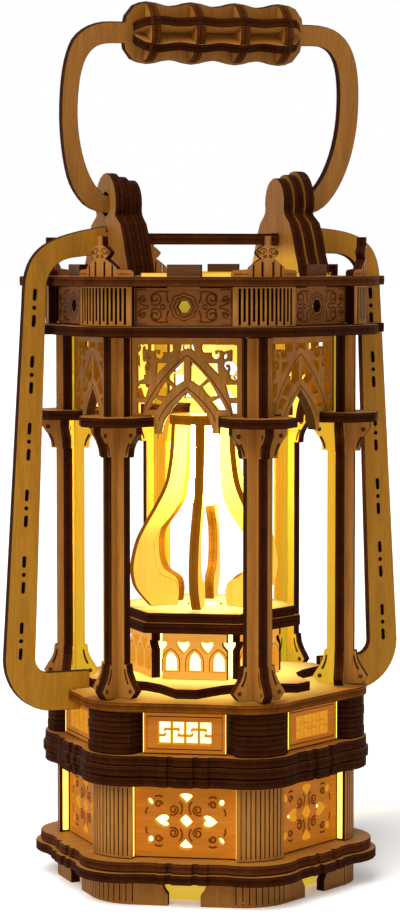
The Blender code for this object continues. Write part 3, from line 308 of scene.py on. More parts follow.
def sides(line, half, closed=False):
    """The line moved to its left and to its right, by half(index) at each of its points."""
    left, right = [], []
    for index, (x, y) in enumerate(line):
        before = line[index - 1] if index or closed else line[0]
        after = line[(index + 1) % len(line)] if index < len(line) - 1 or closed else line[-1]
        run, rise = after[0] - before[0], after[1] - before[1]
        length = math.hypot(run, rise) or 1.0
        left.append((x - rise / length * half(index), y + run / length * half(index)))
        right.append((x + rise / length * half(index), y - run / length * half(index)))
    return left, right


def anticlockwise(points):
    area = 0.0
    for (x0, y0), (x1, y1) in zip(points, points[1:] + points[:1]):
        area += x0 * y1 - x1 * y0
    return points if area > 0 else list(reversed(points))


def hexagon(reach):
    return [(reach * math.cos(math.radians(a)), reach * math.sin(math.radians(a))) for a in CORNERS]


def cap(loops):
    """Faces that fill the first loop and leave the others open, facing up."""
    if len(loops) == 1:
        return [tuple(range(len(loops[0])))]
    flat = [point for loop in loops for point in loop]
    faces = tessellate_polygon([[Vector((x, y, 0.0)) for x, y in loop] for loop in loops])
    area = 0.0
    for a, b, c in faces:
        area += (flat[b][0] - flat[a][0]) * (flat[c][1] - flat[a][1])
        area -= (flat[b][1] - flat[a][1]) * (flat[c][0] - flat[a][0])
    return [tuple(face) if area > 0 else tuple(reversed(face)) for face in faces]


def wall(low, high, size):
    """Faces between two loops of vertices, one above the other."""
    return [(low + i, low + (i + 1) % size, high + (i + 1) % size, high + i) for i in range(size)]


def lifted(height):
    return Matrix.Translation((0.0, 0.0, height))


def spun(degrees, height=0.0):
    return lifted(height) @ Matrix.Rotation(math.radians(degrees), 4, "Z")


def facing(degrees, outer, height, thickness=SHEET):
    """Stands a plate up so that it looks along degrees, its outer face at this distance from the axis."""
    upright = Matrix(((0, 0, 1, 0), (1, 0, 0, 0), (0, 1, 0, 0), (0, 0, 0, 1)))
    return spun(degrees, height) @ Matrix.Translation((outer - thickness, 0, 0)) @ upright


def radial(degrees, height):
    """Stands a plate up in the plane through the axis, its x along degrees, centred on that plane."""
    upright = Matrix(((1, 0, 0, 0), (0, 0, -1, 0), (0, 1, 0, 0), (0, 0, 0, 1)))
    return spun(degrees, height) @ Matrix.Translation((0, SHEET / 2, 0)) @ upright


def waist_of(reach, lean):
    """Apothem at which lobes of this reach end, leaning back from the face's direction."""
    return (reach - LOBE_RADIUS) * COS + LOBE_RADIUS * math.cos(lean)


def lobe_of(reach, lean):
    """One lobe about +X."""
    spread = 30 + math.degrees(lean)
    return arc((reach - LOBE_RADIUS, 0.0), LOBE_RADIUS, -spread, spread, 8)


def moulding_outline(reach):
    """Round lobes at the corners joined by a stepped wave at the middle of each face."""
    waist = waist_of(reach, WAIST_LEAN)
    outline = []
    for face in FACES:
        wave = []
        level = 0.0
        for half, step in WAVE:
            wave += [(half, waist + level), (half - GAP, waist + step)]
            level = step
        middle = [(-along, out) for along, out in wave] + list(reversed(wave))
        outline += on_face(middle, face)
        outline += turned(lobe_of(reach, WAIST_LEAN), face + 30)
    return outline


def box_window(inset):
    half_x, half_y = BOX_LENGTH / 2 + GAP - inset, BOX_WIDTH / 2 + GAP - inset
    return rectangle(-half_x, -half_y, half_x, half_y)


def block_outline(inset):
    half = BLOCK_WIDTH / 2 - inset
    radius = (half * half + BLOCK_BULGE * BLOCK_BULGE) / (2 * BLOCK_BULGE)
    spread = math.degrees(math.asin(half / radius))
    reach = BLOCK_REACH - inset
    inner = BLOCK_REACH - BLOCK_DEPTH + inset
    return [(inner, -half)] + arc((reach - radius, 0.0), radius, -spread, spread, 6) + [(inner, half)]


TIER_WAIST = waist_of(TIER_REACH, TIER_LEAN)
STRAP_FOOT_END = KEY_APOTHEM + GAP      # just outside the meander panel
STRAP_LAP = (STRAP_FOOT_END + TIER_WAIST) / 2   # where the notches of its foot and of the tier plate meet
STRAP_SHOULDER = STRAP_HEAD_BEND * 1.35         # height of the bend at its head


def pointed_arch(centre, half, spring, rise, steps):
    """The curve of a pointed arch from its right foot over the apex to its left foot."""
    shift = (rise * rise - half * half) / (2 * half)
    radius = half + shift
    apex = math.degrees(math.atan2(rise, shift))
    right = arc((centre - shift, spring), radius, 0, apex, steps)
    left = [(2 * centre - x, y) for x, y in reversed(right[:-1])]
    return right + left


def smooth(points, steps):
    """A curve through the points, with this many pieces between two of them."""
    result = [points[0]]
    for index in range(len(points) - 1):
        before = points[max(index - 1, 0)]
        start, end = points[index], points[index + 1]
        after = points[min(index + 2, len(points) - 1)]
        first = tuple(start[i] + (end[i] - before[i]) / 6 for i in (0, 1))
        second = tuple(end[i] - (after[i] - start[i]) / 6 for i in (0, 1))
        result += bezier(start, first, second, end, steps)[1:]
    return result


def column_profile(trim):
    """The right edge of a column's sheet, from the foot up, with both ends cut shorter by the trim."""
    head = CAPITAL_LEVEL + JOIN - trim
    total = COLUMN_HEIGHT - GAP - trim
    foot_curve = bezier((FOOT_HALF, FOOT_TOE_HEIGHT), (FOOT_HALF - BRACKET_SWEEP, FOOT_BEND_LOW),
                        (FOOT_STEP_HALF, FOOT_BEND_HIGH), (FOOT_STEP_HALF, FOOT_HEIGHT), 4)
    head_curve = bezier((HEAD_STEP_HALF, head - HEAD_HEIGHT), (HEAD_STEP_HALF, head - HEAD_BEND_LOW),
                        (HEAD_HALF - BRACKET_SWEEP, head - HEAD_BEND_HIGH), (HEAD_HALF, head - HEAD_BAND), 4)
    shaft = [(SHAFT_HALF, FOOT_HEIGHT), (SHAFT_HALF, head - HEAD_HEIGHT)]
    neck = [(HEAD_HALF, head), (SHAFT_HALF, head), (SHAFT_HALF, total)]
    return [(FOOT_TOE_HALF, trim)] + foot_curve + shaft + head_curve + neck


def shares_between(start, end, steps):
    return [start + (end - start) * step / steps for step in range(steps + 1)]


def arch_cell():
    """The lowest opening between the inner and the outer arch."""
    outer_start, outer_end, inner_start, inner_end = ARCH_CELL
    far = [at_share(OUTER_ARCH_INSIDE, share) for share in shares_between(outer_start, outer_end, 4)]
    return far + [at_share(INNER_ARCH, share) for share in shares_between(inner_end, inner_start, 4)]


def window_half():
    return (COLUMN_RADIUS - SHEET / 2) * math.sin(HALF_CORNER) - SHAFT_HALF * COS - 2 * GAP


def window_outline(half, height):
    """A panel whose inner arch runs down past the capital plates in two legs."""
    inner = [at_share(INNER_ARCH_INSIDE, share) for share in shares_between(0.0, 1.0, ARCH_STEPS)]
    outline = [(-half, 0.0), (-LEG_HALF, 0.0), (-LEG_HALF, -LEG_DROP)]
    outline += [(-x, y) for x, y in inner] + list(reversed(inner[:-1]))
    return outline + [(LEG_HALF, -LEG_DROP), (LEG_HALF, 0.0), (half, 0.0), (half, height), (-half, height)]


def cornice_outline():
    """A rounded hexagon with a prong beside each strap."""
    centre = (CORNICE_APOTHEM - CORNICE_FILLET) / COS
    near, far = -SLOT / 2, -SLOT / 2 - PRONG_WIDTH
    outline = []
    for face in FACES:
        if face in (0, 180):
            root = bezier((far - PRONG_ROOT, CORNICE_APOTHEM), (far, CORNICE_APOTHEM),
                          (far, CORNICE_APOTHEM + PRONG_ROOT), (far, PRONG_REACH), 4)
            outline += on_face(root + [(near, PRONG_REACH), (near, CORNICE_APOTHEM)], face)
        outline += turned(arc((centre, 0.0), CORNICE_FILLET, -30, 30, 8), face + 30)
    return outline


def spoke_holes(inner, outer):
    """Wedge-shaped openings between spokes that run to the corners."""
    holes = []
    for face in FACES:
        wide_in = math.degrees(math.asin(SPOKE_HALF / inner))
        wide_out = math.degrees(math.asin(SPOKE_HALF / outer))
        hole = arc((0.0, 0.0), outer, -30 + wide_out, 30 - wide_out, 3)
        hole += arc((0.0, 0.0), inner, 30 - wide_in, -30 + wide_in, 2)
        holes.append(turned(hole, face))
    return holes


def tenon_slots():
    """Slots in the top plate for the frieze panels' tenons."""
    outer = FRIEZE_APOTHEM - PANEL_RECESS
    half = TENON_WIDTH / 2 + GAP
    inner = outer - SHEET - GAP
    box = [(-half, inner), (-half, outer + GAP), (half, outer + GAP), (half, inner)]
    return [on_face(box, face) for face in FACES]


def ear_outline(inset):
    """A flared foot, a neck and a round head about the bail's pivot."""
    foot = TRIM * round(inset / EAR_LAYER_STEP)
    half = [(EAR_BASE_HALF - inset - narrower, max(up, foot)) for up, narrower in EAR_CONTOUR]
    neck = NECK_HALF - inset * 0.5
    drop = PIVOT_HEIGHT - NECK_DROP
    half.append((neck + NECK_EASE, drop - NECK_EASE))
    half.append((neck, drop))
    radius = EAR_HEAD_RADIUS - inset
    first = math.degrees(math.asin(-min(NECK_DROP - NECK_LIP, radius * 0.6) / radius))
    half += arc((0.0, PIVOT_HEIGHT), radius, first, 90, 7)[:-1]
    return half + [(0.0, PIVOT_HEIGHT + radius)] + flipped(half)


def strap_outline():
    """One strap in its own plane: x out from the axis, y up from the ground."""
    top = Z_ROOF + STRAP_ARM_TOP
    under = top - STRAP_ARM_HEIGHT
    low = Z_TIER - STRAP_LOW_EDGE
    shelf = low + STRAP_FOOT_ARM
    outer, inner = STRAP_TOP_OUTER, STRAP_TOP_OUTER - STRAP_TOP_WIDTH
    foot, foot_inner = STRAP_FOOT_OUTER, STRAP_FOOT_OUTER - STRAP_FOOT_WIDTH
    root = EAR_OUTER_FACE + GAP
    tip = EAR_OUTER_FACE - SHEET
    middle = (top + under) / 2
    bend = STRAP_HEAD_BEND
    toe = STRAP_FOOT_BEND
    points = [(foot, low + toe)]
    points += bezier((outer, top - STRAP_SHOULDER), (outer, top - bend * 0.3),
                     (outer - bend * 0.5, top - bend * 0.12), (outer - bend * 1.4, top - bend * 0.03), 14)
    points += [(root, top), (root, middle + STRAP_TENON / 2), (tip, middle + STRAP_TENON / 2)]
    points += [(tip, middle - STRAP_TENON / 2), (root, middle - STRAP_TENON / 2), (root, under)]
    inner_bend = bend * 0.62
    points += bezier((inner - inner_bend, under), (inner - inner_bend * 0.4, under),
                     (inner, under - inner_bend * 0.4), (inner, under - inner_bend), 10)
    points += bezier((foot_inner, shelf + STRAP_INNER_BEND), (foot_inner, shelf + STRAP_INNER_BEND * 0.4),
                     (foot_inner - STRAP_INNER_BEND * 0.6, shelf), (foot_inner - STRAP_INNER_BEND, shelf), 6)
    end = STRAP_FOOT_END
    points += [(end, shelf), (end, Z_COLUMN), (STRAP_LAP, Z_COLUMN), (STRAP_LAP, Z_TIER - GAP)]
    points += [(end, Z_TIER - GAP), (end, low)]
    return points + bezier((foot - toe, low), (foot - toe * 0.45, low), (foot, low + toe * 0.45),
                           (foot, low + toe), 12)[:-1]


def wave_half(along):
    """Half width of the grip at this distance from its middle, widest at the rings."""
    phase = (along / GRIP_PITCH - (GRIP_RINGS % 2 == 0) * 0.5) * 2 * math.pi
    return GRIP_RADIUS - GRIP_VALLEY * (1 - math.cos(phase)) / 2


def grip_edge():
    """The wavy upper edge of the grip from its right end to its left, rounded off at both."""
    half = GRIP_LENGTH / 2
    points = []
    steps = 24
    for step in range(steps + 1):
        along = half - GRIP_LENGTH * step / steps
        rounding = min(1.0, max(0.0, half - abs(along)) / GRIP_END_RADIUS)
        points.append((along, wave_half(along) * (0.62 + 0.38 * math.sqrt(rounding * (2 - rounding)))))
    return points


def bail_outline():
    """The bail's bar from one ear to the other, widened to the grip's wavy plate at the top."""
    end, ear = EAR_OUTER_FACE - 2 * PLY + GAP, (EAR_OUTER_FACE + GAP, 0.0)
    waist = (BAIL_HALF, BAIL_WAIST)
    shoulder = (BAIL_SHOULDER, BAIL_HEIGHT)
    line = bezier(ear, (BAIL_HALF - BAIL_LOW_DRAW, BAIL_RISE), (BAIL_HALF, BAIL_WAIST / 2), waist, BEND_STEPS)
    line += bezier(waist, (BAIL_HALF, BAIL_WAIST + BAIL_HIGH_BEND), (BAIL_HALF - BAIL_HIGH_DRAW, BAIL_HEIGHT),
                   shoulder, BEND_STEPS)[1:]
    wider = BAIL_WIDTH - BAIL_END_WIDTH
    inner, outer = sides(line, lambda index: (BAIL_END_WIDTH + wider * min(1.0, index / 3)) / 2)
    thin, half_bar = BAIL_END_WIDTH / 2, BAIL_WIDTH / 2
    join = GRIP_LENGTH / 2 + GAP
    top = [(x, BAIL_HEIGHT + y) for x, y in grip_edge()]
    bottom = [(x, BAIL_HEIGHT - y) for x, y in grip_edge()]
    right_out = [(end, -thin)] + outer
    right_in = inner + [(join, BAIL_HEIGHT - half_bar)]
    points = right_out + [(join, BAIL_HEIGHT + half_bar)] + top + [(-join, BAIL_HEIGHT + half_bar)]
    points += flipped(right_out) + [(-end, thin)] + [(-x, y) for x, y in right_in]
    return points + bottom[::-1] + right_in[::-1] + [(end, thin)]


def grip_ring_places():
    return [(index - (GRIP_RINGS - 1) / 2) * GRIP_PITCH for index in range(GRIP_RINGS)]


# Sheets: every piece is made of plates with light faces and burnt edges

CUT = 0.00013               # width of the scorched line round every cut
LINE_LIFT = 0.00003         # engraved lines stand this far off their sheet
SCROLL_LINE = 0.00055       # widths of the engraved lines
BORDER_LINE = 0.00032
ARCADE_LINE = 0.00022
TRACERY_LINE = 0.00028
CREST_SCROLL_LINE = 0.00030
CREST_LINE = 0.0002
FRIEZE_LINE = 0.00046
# The dark lining sheets paint the shade seen through slits, the lit ones the glow
LINING = 0.0006             # thickness of the thin sheets behind slits and openings
MM = 1000                   # the sheet attribute is in millimetres
SHEET_MM = 2.7              # the sheet's thickness in it
GRAIN_SHIFT = 61.0          # from one plate's piece of grain to the next, in millimetres


def inset(loop, width):
    """The loop moved into the wood, which lies to its left."""
    result = []
    for index, (x, y) in enumerate(loop):
        before, after = loop[index - 1], loop[(index + 1) % len(loop)]
        first, second = (x - before[0], y - before[1]), (after[0] - x, after[1] - y)
        one, two = math.hypot(*first) or 1.0, math.hypot(*second) or 1.0
        normal = (-first[1] / one - second[1] / two, first[0] / one + second[0] / two)
        size = max(1.0 + (first[0] * second[0] + first[1] * second[1]) / (one * two), 0.35)
        result.append((x + normal[0] / size * width, y + normal[1] / size * width))
    return result


def meshed(name, points, faces):
    mesh = bpy.data.meshes.new(name)
    mesh.from_pydata(points, [], faces)
    return mesh


def linked(name, data):
    made = bpy.data.objects.new(name, data)
    bpy.context.scene.collection.objects.link(made)
    return made


class Piece:
    """A mesh gathered from plates. Each corner keeps its place on its own sheet, in millimetres."""

    def __init__(self):
        self.points, self.faces, self.kinds, self.sheet = [], [], [], []
        self.shift = 0.0

    def add(self, points, faces, kind, sheet):
        first = len(self.points)
        self.points += points
        self.faces += [tuple(first + index for index in face) for face in faces]
        self.kinds += [kind] * len(faces)
        self.sheet += sheet

    def plate(self, outline, place, thickness=SHEET, holes=(), grain=0.0, kind="face", back=None, edge="edge",
              rim=None):
        """A flat plate with its outline and holes cut square and their rims scorched."""
        loops = [anticlockwise(outline)] + [anticlockwise(hole)[::-1] for hole in holes]
        rims = [inset(loop, CUT) for loop in loops]
        self.shift += GRAIN_SHIFT
        cosine, sine = math.cos(math.radians(grain)), math.sin(math.radians(grain))
        flat = [point for rim_loop in rims for point in rim_loop]
        up = cap(rims)
        down = [tuple(reversed(face)) for face in up]
        for height, faces, side in ((thickness, up, kind), (0.0, down, back or kind)):
            corners = [flat[index] for face in faces for index in face]
            sheet = [(MM * (x * cosine + y * sine) + self.shift, MM * (y * cosine - x * sine), 0.0)
                     for x, y in corners]
            self.add([place @ Vector((x, y, height)) for x, y in flat], faces, side, sheet)
        for number, (loop, within) in enumerate(zip(loops, rims)):
            rings = [(within, 0.0), (loop, CUT), (loop, thickness - CUT), (within, thickness)]
            size = len(loop)
            along = [self.shift]
            run = 0.0
            for index in range(size):
                run += MM * math.dist(loop[index], loop[(index + 1) % size])
                along.append(run + self.shift)
            sheet = []
            for (_, low), (_, high) in zip(rings, rings[1:]):
                for s, t in zip(along, along[1:]):
                    sheet += [(s, MM * low, 1.0), (t, MM * low, 1.0), (t, MM * high, 1.0), (s, MM * high, 1.0)]
            faces = [face for level in range(3) for face in wall(level * size, (level + 1) * size, size)]
            self.add([place @ Vector((x, y, z)) for ring, z in rings for x, y in ring], faces,
                     rim if number and rim else edge, sheet)

    def cells(self, xs, levels, is_open, bend, place, kind="face"):
        """A bent sheet of cells between the stations xs, with levels(x) giving the heights between them."""
        self.shift += GRAIN_SHIFT
        heights = [levels(x) for x in xs]
        rows, columns = len(heights[0]) - 1, len(xs) - 1

        def at(corner, inward):
            return place @ Vector(bend(xs[corner[0]], heights[corner[0]][corner[1]], inward))

        def empty(i, j):
            return i < 0 or j < 0 or i >= columns or j >= rows or is_open(i, j)

        def run(corner):
            return MM * (xs[corner[0]] + heights[corner[0]][corner[1]])

        for i, j in ((i, j) for i in range(columns) for j in range(rows) if not is_open(i, j)):
            flat = [(i, j), (i + 1, j), (i + 1, j + 1), (i, j + 1)]
            sheet = [(MM * heights[a][b], MM * xs[a] + self.shift, 0.0) for a, b in flat]
            self.add([at(corner, 0.0) for corner in flat], [(0, 1, 2, 3)], kind, sheet)
            self.add([at(corner, SHEET) for corner in flat[::-1]], [(0, 1, 2, 3)], kind, sheet[::-1])
            neighbours = ((i, j - 1), (i + 1, j), (i, j + 1), (i - 1, j))
            for start, end, neighbour in zip(flat, flat[1:] + flat[:1], neighbours):
                if empty(*neighbour):
                    corners = [at(end, 0.0), at(start, 0.0), at(start, SHEET), at(end, SHEET)]
                    s, t = run(start), run(end)
                    sheet = [(t, 0.0, 1.0), (s, 0.0, 1.0), (s, SHEET_MM, 1.0), (t, SHEET_MM, 1.0)]
                    self.add(corners, [(0, 1, 2, 3)], "edge", sheet)

    def ribbon(self, line, width, place, closed=False, kind="line"):
        """An engraved line on a plate's upper face, as a thin dark ribbon."""
        count = len(line)
        left, right = sides(line, lambda index: width / 2, closed)
        points = [place @ Vector((x, y, SHEET + LINE_LIFT)) for x, y in right + left]
        faces = wall(0, count, count)[:count if closed else count - 1]
        sheet = [(MM * line[i % count][0], MM * line[i % count][1], 1.0) for face in faces for i in face]
        self.add(points, faces, kind, sheet)

    def spot(self, outline, place, height=SHEET, kind="line"):
        """A small engraved patch."""
        points = anticlockwise(outline)
        self.add([place @ Vector((x, y, height + LINE_LIFT)) for x, y in points], [tuple(range(len(points)))],
                 kind, [(MM * x, MM * y, 1.0) for x, y in points])

    def object(self, name, node=None, body="lantern"):
        mesh = meshed(name, self.points, self.faces)
        used = [kind for kind in LOOKS if kind in self.kinds]
        for kind in used:
            mesh.materials.append(LOOKS[kind])
        mesh.polygons.foreach_set("material_index", [used.index(kind) for kind in self.kinds])
        layer = mesh.attributes.new("sheet", "FLOAT_VECTOR", "CORNER")
        layer.data.foreach_set("vector", [value for corner in self.sheet for value in corner])
        made = linked(name, mesh)
        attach(made, body)
        if node:
            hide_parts(node)


# Materials

def feed(node, inputs):
    """Sets each input to a plain value, or links it to another node's output."""
    for name, value in inputs.items():
        if isinstance(value, bpy.types.NodeSocket):
            node.id_data.links.new(value, node.inputs[name])
        else:
            node.inputs[name].default_value = value
    return node


def added(tree, kind, inputs, **settings):
    """A new shader node with its settings and inputs."""
    made = tree.nodes.new("ShaderNode" + kind)
    for name, value in settings.items():
        setattr(made, name, value)
    return feed(made, inputs)


def node_material(name, inputs):
    made = bpy.data.materials.new(name)
    made.use_nodes = True
    return made, made.node_tree, feed(made.node_tree.nodes["Principled BSDF"], inputs)


def noise(tree, vector, detail, stretch, scale=1.0):
    mapping = added(tree, "Mapping", {"Scale": stretch, "Vector": vector})
    return added(tree, "TexNoise", {"Scale": scale, "Detail": detail, "Roughness": 0.6,
                                    "Vector": mapping.outputs["Vector"]}).outputs["Fac"]


def ramp(tree, factor, stops):
    made = added(tree, "ValToRGB", {"Fac": factor})
    elements = made.color_ramp.elements
    while len(elements) < len(stops):
        elements.new(0.5)
    for element, (position, colour) in zip(elements, stops):
        element.position = position
        element.color = (*colour, 1.0)
    return made.outputs["Color"]


def multiplied(tree, share, first, second):
    return added(tree, "Mix", {"Factor": share, "A": first, "B": second}, data_type="RGBA",
                 blend_type="MULTIPLY").outputs["Result"]


def output(tree, kind, name, inputs=(), **settings):
    """One output of a new shader node."""
    return added(tree, kind, dict(inputs), **settings).outputs[name]


def bumped(tree, height, strength, distance):
    return output(tree, "Bump", "Normal", {"Strength": strength, "Distance": distance, "Height": height})


def face_material(name, light, dark, pore=(0.45, 0.38, 0.32)):
    """Thin plywood's outer ply: long fine grain, darker growth bands and short pores."""
    made, tree, shader = node_material(name, {"Specular IOR Level": 0.2})
    vector = output(tree, "Attribute", "Vector", attribute_name="sheet")
    fine = noise(tree, vector, 5.0, (0.11, 2.6, 1.0))
    broad = noise(tree, vector, 3.0, (0.018, 0.30, 1.0))
    specks = noise(tree, vector, 2.0, (0.55, 7.5, 1.0))
    base = ramp(tree, broad, [(0.30, dark), (0.70, light)])
    grain = ramp(tree, fine, [(0.28, (0.62, 0.56, 0.50)), (0.55, (1.0, 1.0, 1.0)), (0.78, (1.1, 1.08, 1.04))])
    pores = ramp(tree, specks, [(0.30, pore), (0.37, (1.0, 1.0, 1.0))])
    base = multiplied(tree, 0.7, multiplied(tree, 0.85, base, grain), pores)
    rough = ramp(tree, fine, [(0.2, (0.72,) * 3), (0.8, (0.5,) * 3)])
    feed(shader, {"Base Color": base, "Roughness": rough, "Normal": bumped(tree, fine, 0.25, 0.0001)})
    return made


def edge_material(name, dark, brown, specular=0.03):
    """A laser-cut edge: scorched, with the plies showing as bands and the beam's fine upright marks."""
    made, tree, shader = node_material(name, {"Specular IOR Level": specular})
    vector = output(tree, "Attribute", "Vector", attribute_name="sheet")
    across = output(tree, "SeparateXYZ", "Y", {"Vector": vector})
    level = output(tree, "Math", "Value", {0: across, 1: SHEET_MM}, operation="DIVIDE")
    mid = tuple((a + b) / 2 for a, b in zip(dark, brown))
    plies = ramp(tree, level, [(0.0, dark), (0.10, mid), (0.27, brown), (0.33, dark), (0.39, mid), (0.61, dark),
                               (0.66, dark), (0.74, brown), (0.92, mid), (1.0, dark)])
    marks = noise(tree, vector, 3.0, (3.0, 0.35, 1.0))
    broad = noise(tree, vector, 2.0, (0.16, 0.1, 1.0))
    striae = ramp(tree, marks, [(0.32, (0.55, 0.5, 0.45)), (0.6, (1.0, 1.0, 1.0)), (0.8, (1.5, 1.4, 1.3))])
    patch = ramp(tree, broad, [(0.3, (0.6, 0.55, 0.5)), (0.7, (1.35, 1.3, 1.2))])
    base = multiplied(tree, 0.7, multiplied(tree, 0.8, plies, striae), patch)
    rough = ramp(tree, marks, [(0.2, (0.8,) * 3), (0.8, (0.6,) * 3)])
    feed(shader, {"Base Color": base, "Roughness": rough, "Normal": bumped(tree, marks, 0.35, 0.00012)})
    return made


def glow_material(name, colour, strength):
    """A lit diffuser, a little uneven."""
    made, tree, shader = node_material(name, {"Roughness": 0.5, "Emission Strength": strength})
    uneven = noise(tree, output(tree, "TexCoord", "Object"), 2.0, (1.0, 1.0, 1.0), 60.0)
    shade = ramp(tree, uneven, [(0.3, tuple(value * 0.8 for value in colour)), (0.7, colour)])
    feed(shader, {"Base Color": shade, "Emission Color": shade})
    return made


def evenly_lit(material, colour, strength):
    """Painted light: an even emission glow on wood, for light that shines through it or on it from close by."""
    shader = material.node_tree.nodes["Principled BSDF"]
    feed(shader, {"Emission Color": (*colour, 1.0), "Emission Strength": strength})
    return material


def near_lamp(material, colour, far, near, strength, axes=(1.0, 1.0, 0.0), rest=0.0):
    """Painted light: an emission glow on wood for the lamp in the lantern's middle, fading from the near radius
    or height to the far one.
    """
    tree = material.node_tree
    place = output(tree, "TexCoord", "Object")
    place = output(tree, "VectorMath", "Vector", {0: place, 1: axes}, operation="MULTIPLY")
    radius = output(tree, "VectorMath", "Value", {0: place}, operation="LENGTH")
    span = {"From Min": near, "From Max": far, "To Min": strength, "To Max": rest, "Value": radius}
    fade = output(tree, "MapRange", "Result", span, interpolation_type="SMOOTHSTEP")
    return evenly_lit(material, colour, fade)


def moulded_material(name, colour, roughness, metallic=0.0):
    """Moulded or brushed surface with a fine irregular texture."""
    made, tree, shader = node_material(name, {"Metallic": metallic})
    fine = noise(tree, output(tree, "TexCoord", "Object"), 3.0, (1.0, 1.0, 1.0), 1400.0)
    shade = ramp(tree, fine, [(0.3, tuple(value * 0.75 for value in colour)), (0.7, colour)])
    rough = ramp(tree, fine, [(0.3, (roughness * 1.15,) * 3), (0.7, (roughness * 0.85,) * 3)])
    feed(shader, {"Base Color": shade, "Roughness": rough, "Normal": bumped(tree, fine, 0.15, 0.00005)})
    return made


def sheet_looks():
    """The looks of faces, edges, engraved lines and lights, in the order of a piece's material slots.

    Wood that the inner light reaches carries a painted glow (emission): all over, or fading away from the
    lantern's middle. Other painted light and shade is noted at each look.
    """
    light, dark = (0.40, 0.165, 0.024), (0.30, 0.113, 0.0135)
    char, brown = (0.016, 0.0036, 0.0005), (0.052, 0.0110, 0.0010)
    # Paler wood for the parts given a painted glow (lit and rib)
    lamplit_pale = (0.60, 0.33, 0.06), (0.48, 0.25, 0.04), (0.6, 0.5, 0.4)
    upwards = (0.0, 0.0, 1.0)
    return {
        "face": face_material("ply_face", light, dark),
        "edge": edge_material("ply_edge", char, brown),
        "line": edge_material("ply_line", (0.080, 0.025, 0.005), (0.14, 0.044, 0.008)),
        "glow": glow_material("diffuser", (1.0, 0.80, 0.30), 3.0),
        "lit": evenly_lit(face_material("lit_ply", *lamplit_pale), (1.0, 0.72, 0.07), 0.55),
        "amber": glow_material("amber_lens", (0.52, 0.34, 0.02), 0.75),
        # Drum and meander panels: a redder face with an even painted orange glow for the lamp behind them
        "warm_glow": evenly_lit(face_material("warm_glow_ply", (0.38, 0.125, 0.006), (0.29, 0.088, 0.003)),
                           (1.0, 0.28, 0.0), 0.20),
        # Lamp stand panels: an even painted orange glow from the lamp above them
        "bright": evenly_lit(face_material("bright_ply", light, dark), (1.0, 0.46, 0.06), 0.60),
        "inner": evenly_lit(face_material("lamplit_ply", light, dark), (1.0, 0.84, 0.14), 0.85),
        "scorched": face_material("scorched_ply", (0.13, 0.045, 0.008), (0.085, 0.028, 0.005)),
        # Tier, star and stage plates: a painted lamp glow that fades out from the middle
        "tier": near_lamp(face_material("tier_ply", (0.31, 0.100, 0.007), (0.23, 0.069, 0.004)),
                          (1.0, 0.70, 0.12), 0.0460, 0.0230, 1.1),
        "star": near_lamp(face_material("star_ply", (0.40, 0.120, 0.010), (0.30, 0.083, 0.005)),
                          (1.0, 0.74, 0.15), 0.0420, 0.0200, 1.3),
        "stage": near_lamp(face_material("stage_ply", light, dark), (1.0, 0.85, 0.28), 0.0280, 0.0120, 1.3),
        # Rims of pierced openings: an even painted orange glow for the lamp light through them
        "lamplit_rim": evenly_lit(edge_material("lamplit_rim_edge", (0.10, 0.035, 0.004), (0.22, 0.09, 0.01), 0.0),
                            (1.0, 0.42, 0.03), 0.60),
        # Edges near the lamp (ribs, collar, tracery, linings): a faint painted orange glow
        "lamplit_edge": evenly_lit(edge_material("lamplit_edge_glow", (0.07, 0.024, 0.003), (0.16, 0.06, 0.007), 0.0),
                             (1.0, 0.33, 0.01), 0.15),
        # Columns' radial sheets: a painted yellow glow on their inner half, fading out towards the outer face
        "column": near_lamp(face_material("column_ply", light, dark), (0.98, 0.76, 0.03),
                            COLUMN_RADIUS - 0.0002, COLUMN_RADIUS - 0.0022, 0.42),
        "uplit": near_lamp(face_material("uplit_ply", light, dark), (1.0, 0.56, 0.03),
                           Z_ROOF + 0.0100, Z_ROOF + 0.0040, 0.36, upwards),
        "russet": edge_material("russet_edge", (0.036, 0.0095, 0.0016), (0.108, 0.029, 0.0045)),
        "scroll": edge_material("scroll_line", (0.210, 0.048, 0.002), (0.290, 0.070, 0.003)),
        "seam": glow_material("seam_light", (1.0, 0.70, 0.12), 1.7),
        "faint": edge_material("faint_line", (0.120, 0.040, 0.008), (0.180, 0.062, 0.012)),
        # Straps: yellower wood with a faint painted glow, strongest at the foot and fading upwards
        "strap_glow": near_lamp(face_material("strap_glow_ply", (0.40, 0.175, 0.010), (0.31, 0.125, 0.005)),
                            (1.0, 0.62, 0.02), 0.2100, 0.0300, 0.035, upwards),
        # Inward face of the columns' cross sheets: an even painted yellow glow
        "flank": evenly_lit(face_material("column_back_ply", light, dark), (0.80, 0.62, 0.03), 0.42),
        "umber": face_material("umber_ply", (0.335, 0.137, 0.018), (0.25, 0.095, 0.010)),
        # Frieze panels: a darker, redder face that paints the shadow of the roof's overhang
        "shade": face_material("roof_shadow_ply", (0.29, 0.100, 0.013), (0.21, 0.069, 0.008)),
        # Tier plate's rim: a brighter, more orange edge that paints warm light falling on it from below
        "warm_lit_rim": edge_material("warm_lit_rim_edge", (0.075, 0.022, 0.002), (0.20, 0.060, 0.004)),
        # Columns' radial sheet edges: a painted orange glow nearest the lamp, fading out towards the outer face
        "heart": near_lamp(edge_material("column_edge", char, brown), (1.0, 0.46, 0.02),
                           COLUMN_RADIUS - 0.0010, COLUMN_RADIUS - 0.0026, 0.70),
        # Chimney ribs: paler wood with a strong painted glow, brightest at the top and weaker lower down
        "rib": near_lamp(face_material("rib_ply", *lamplit_pale), (1.0, 0.75, 0.08),
                         Z_RIB + 0.0180, Z_RIB + 0.0440, 3.6, upwards, 0.50)}


LOOKS = sheet_looks()
BURNT = "burnt_plywood"
LIGHT = "frosted_tube"


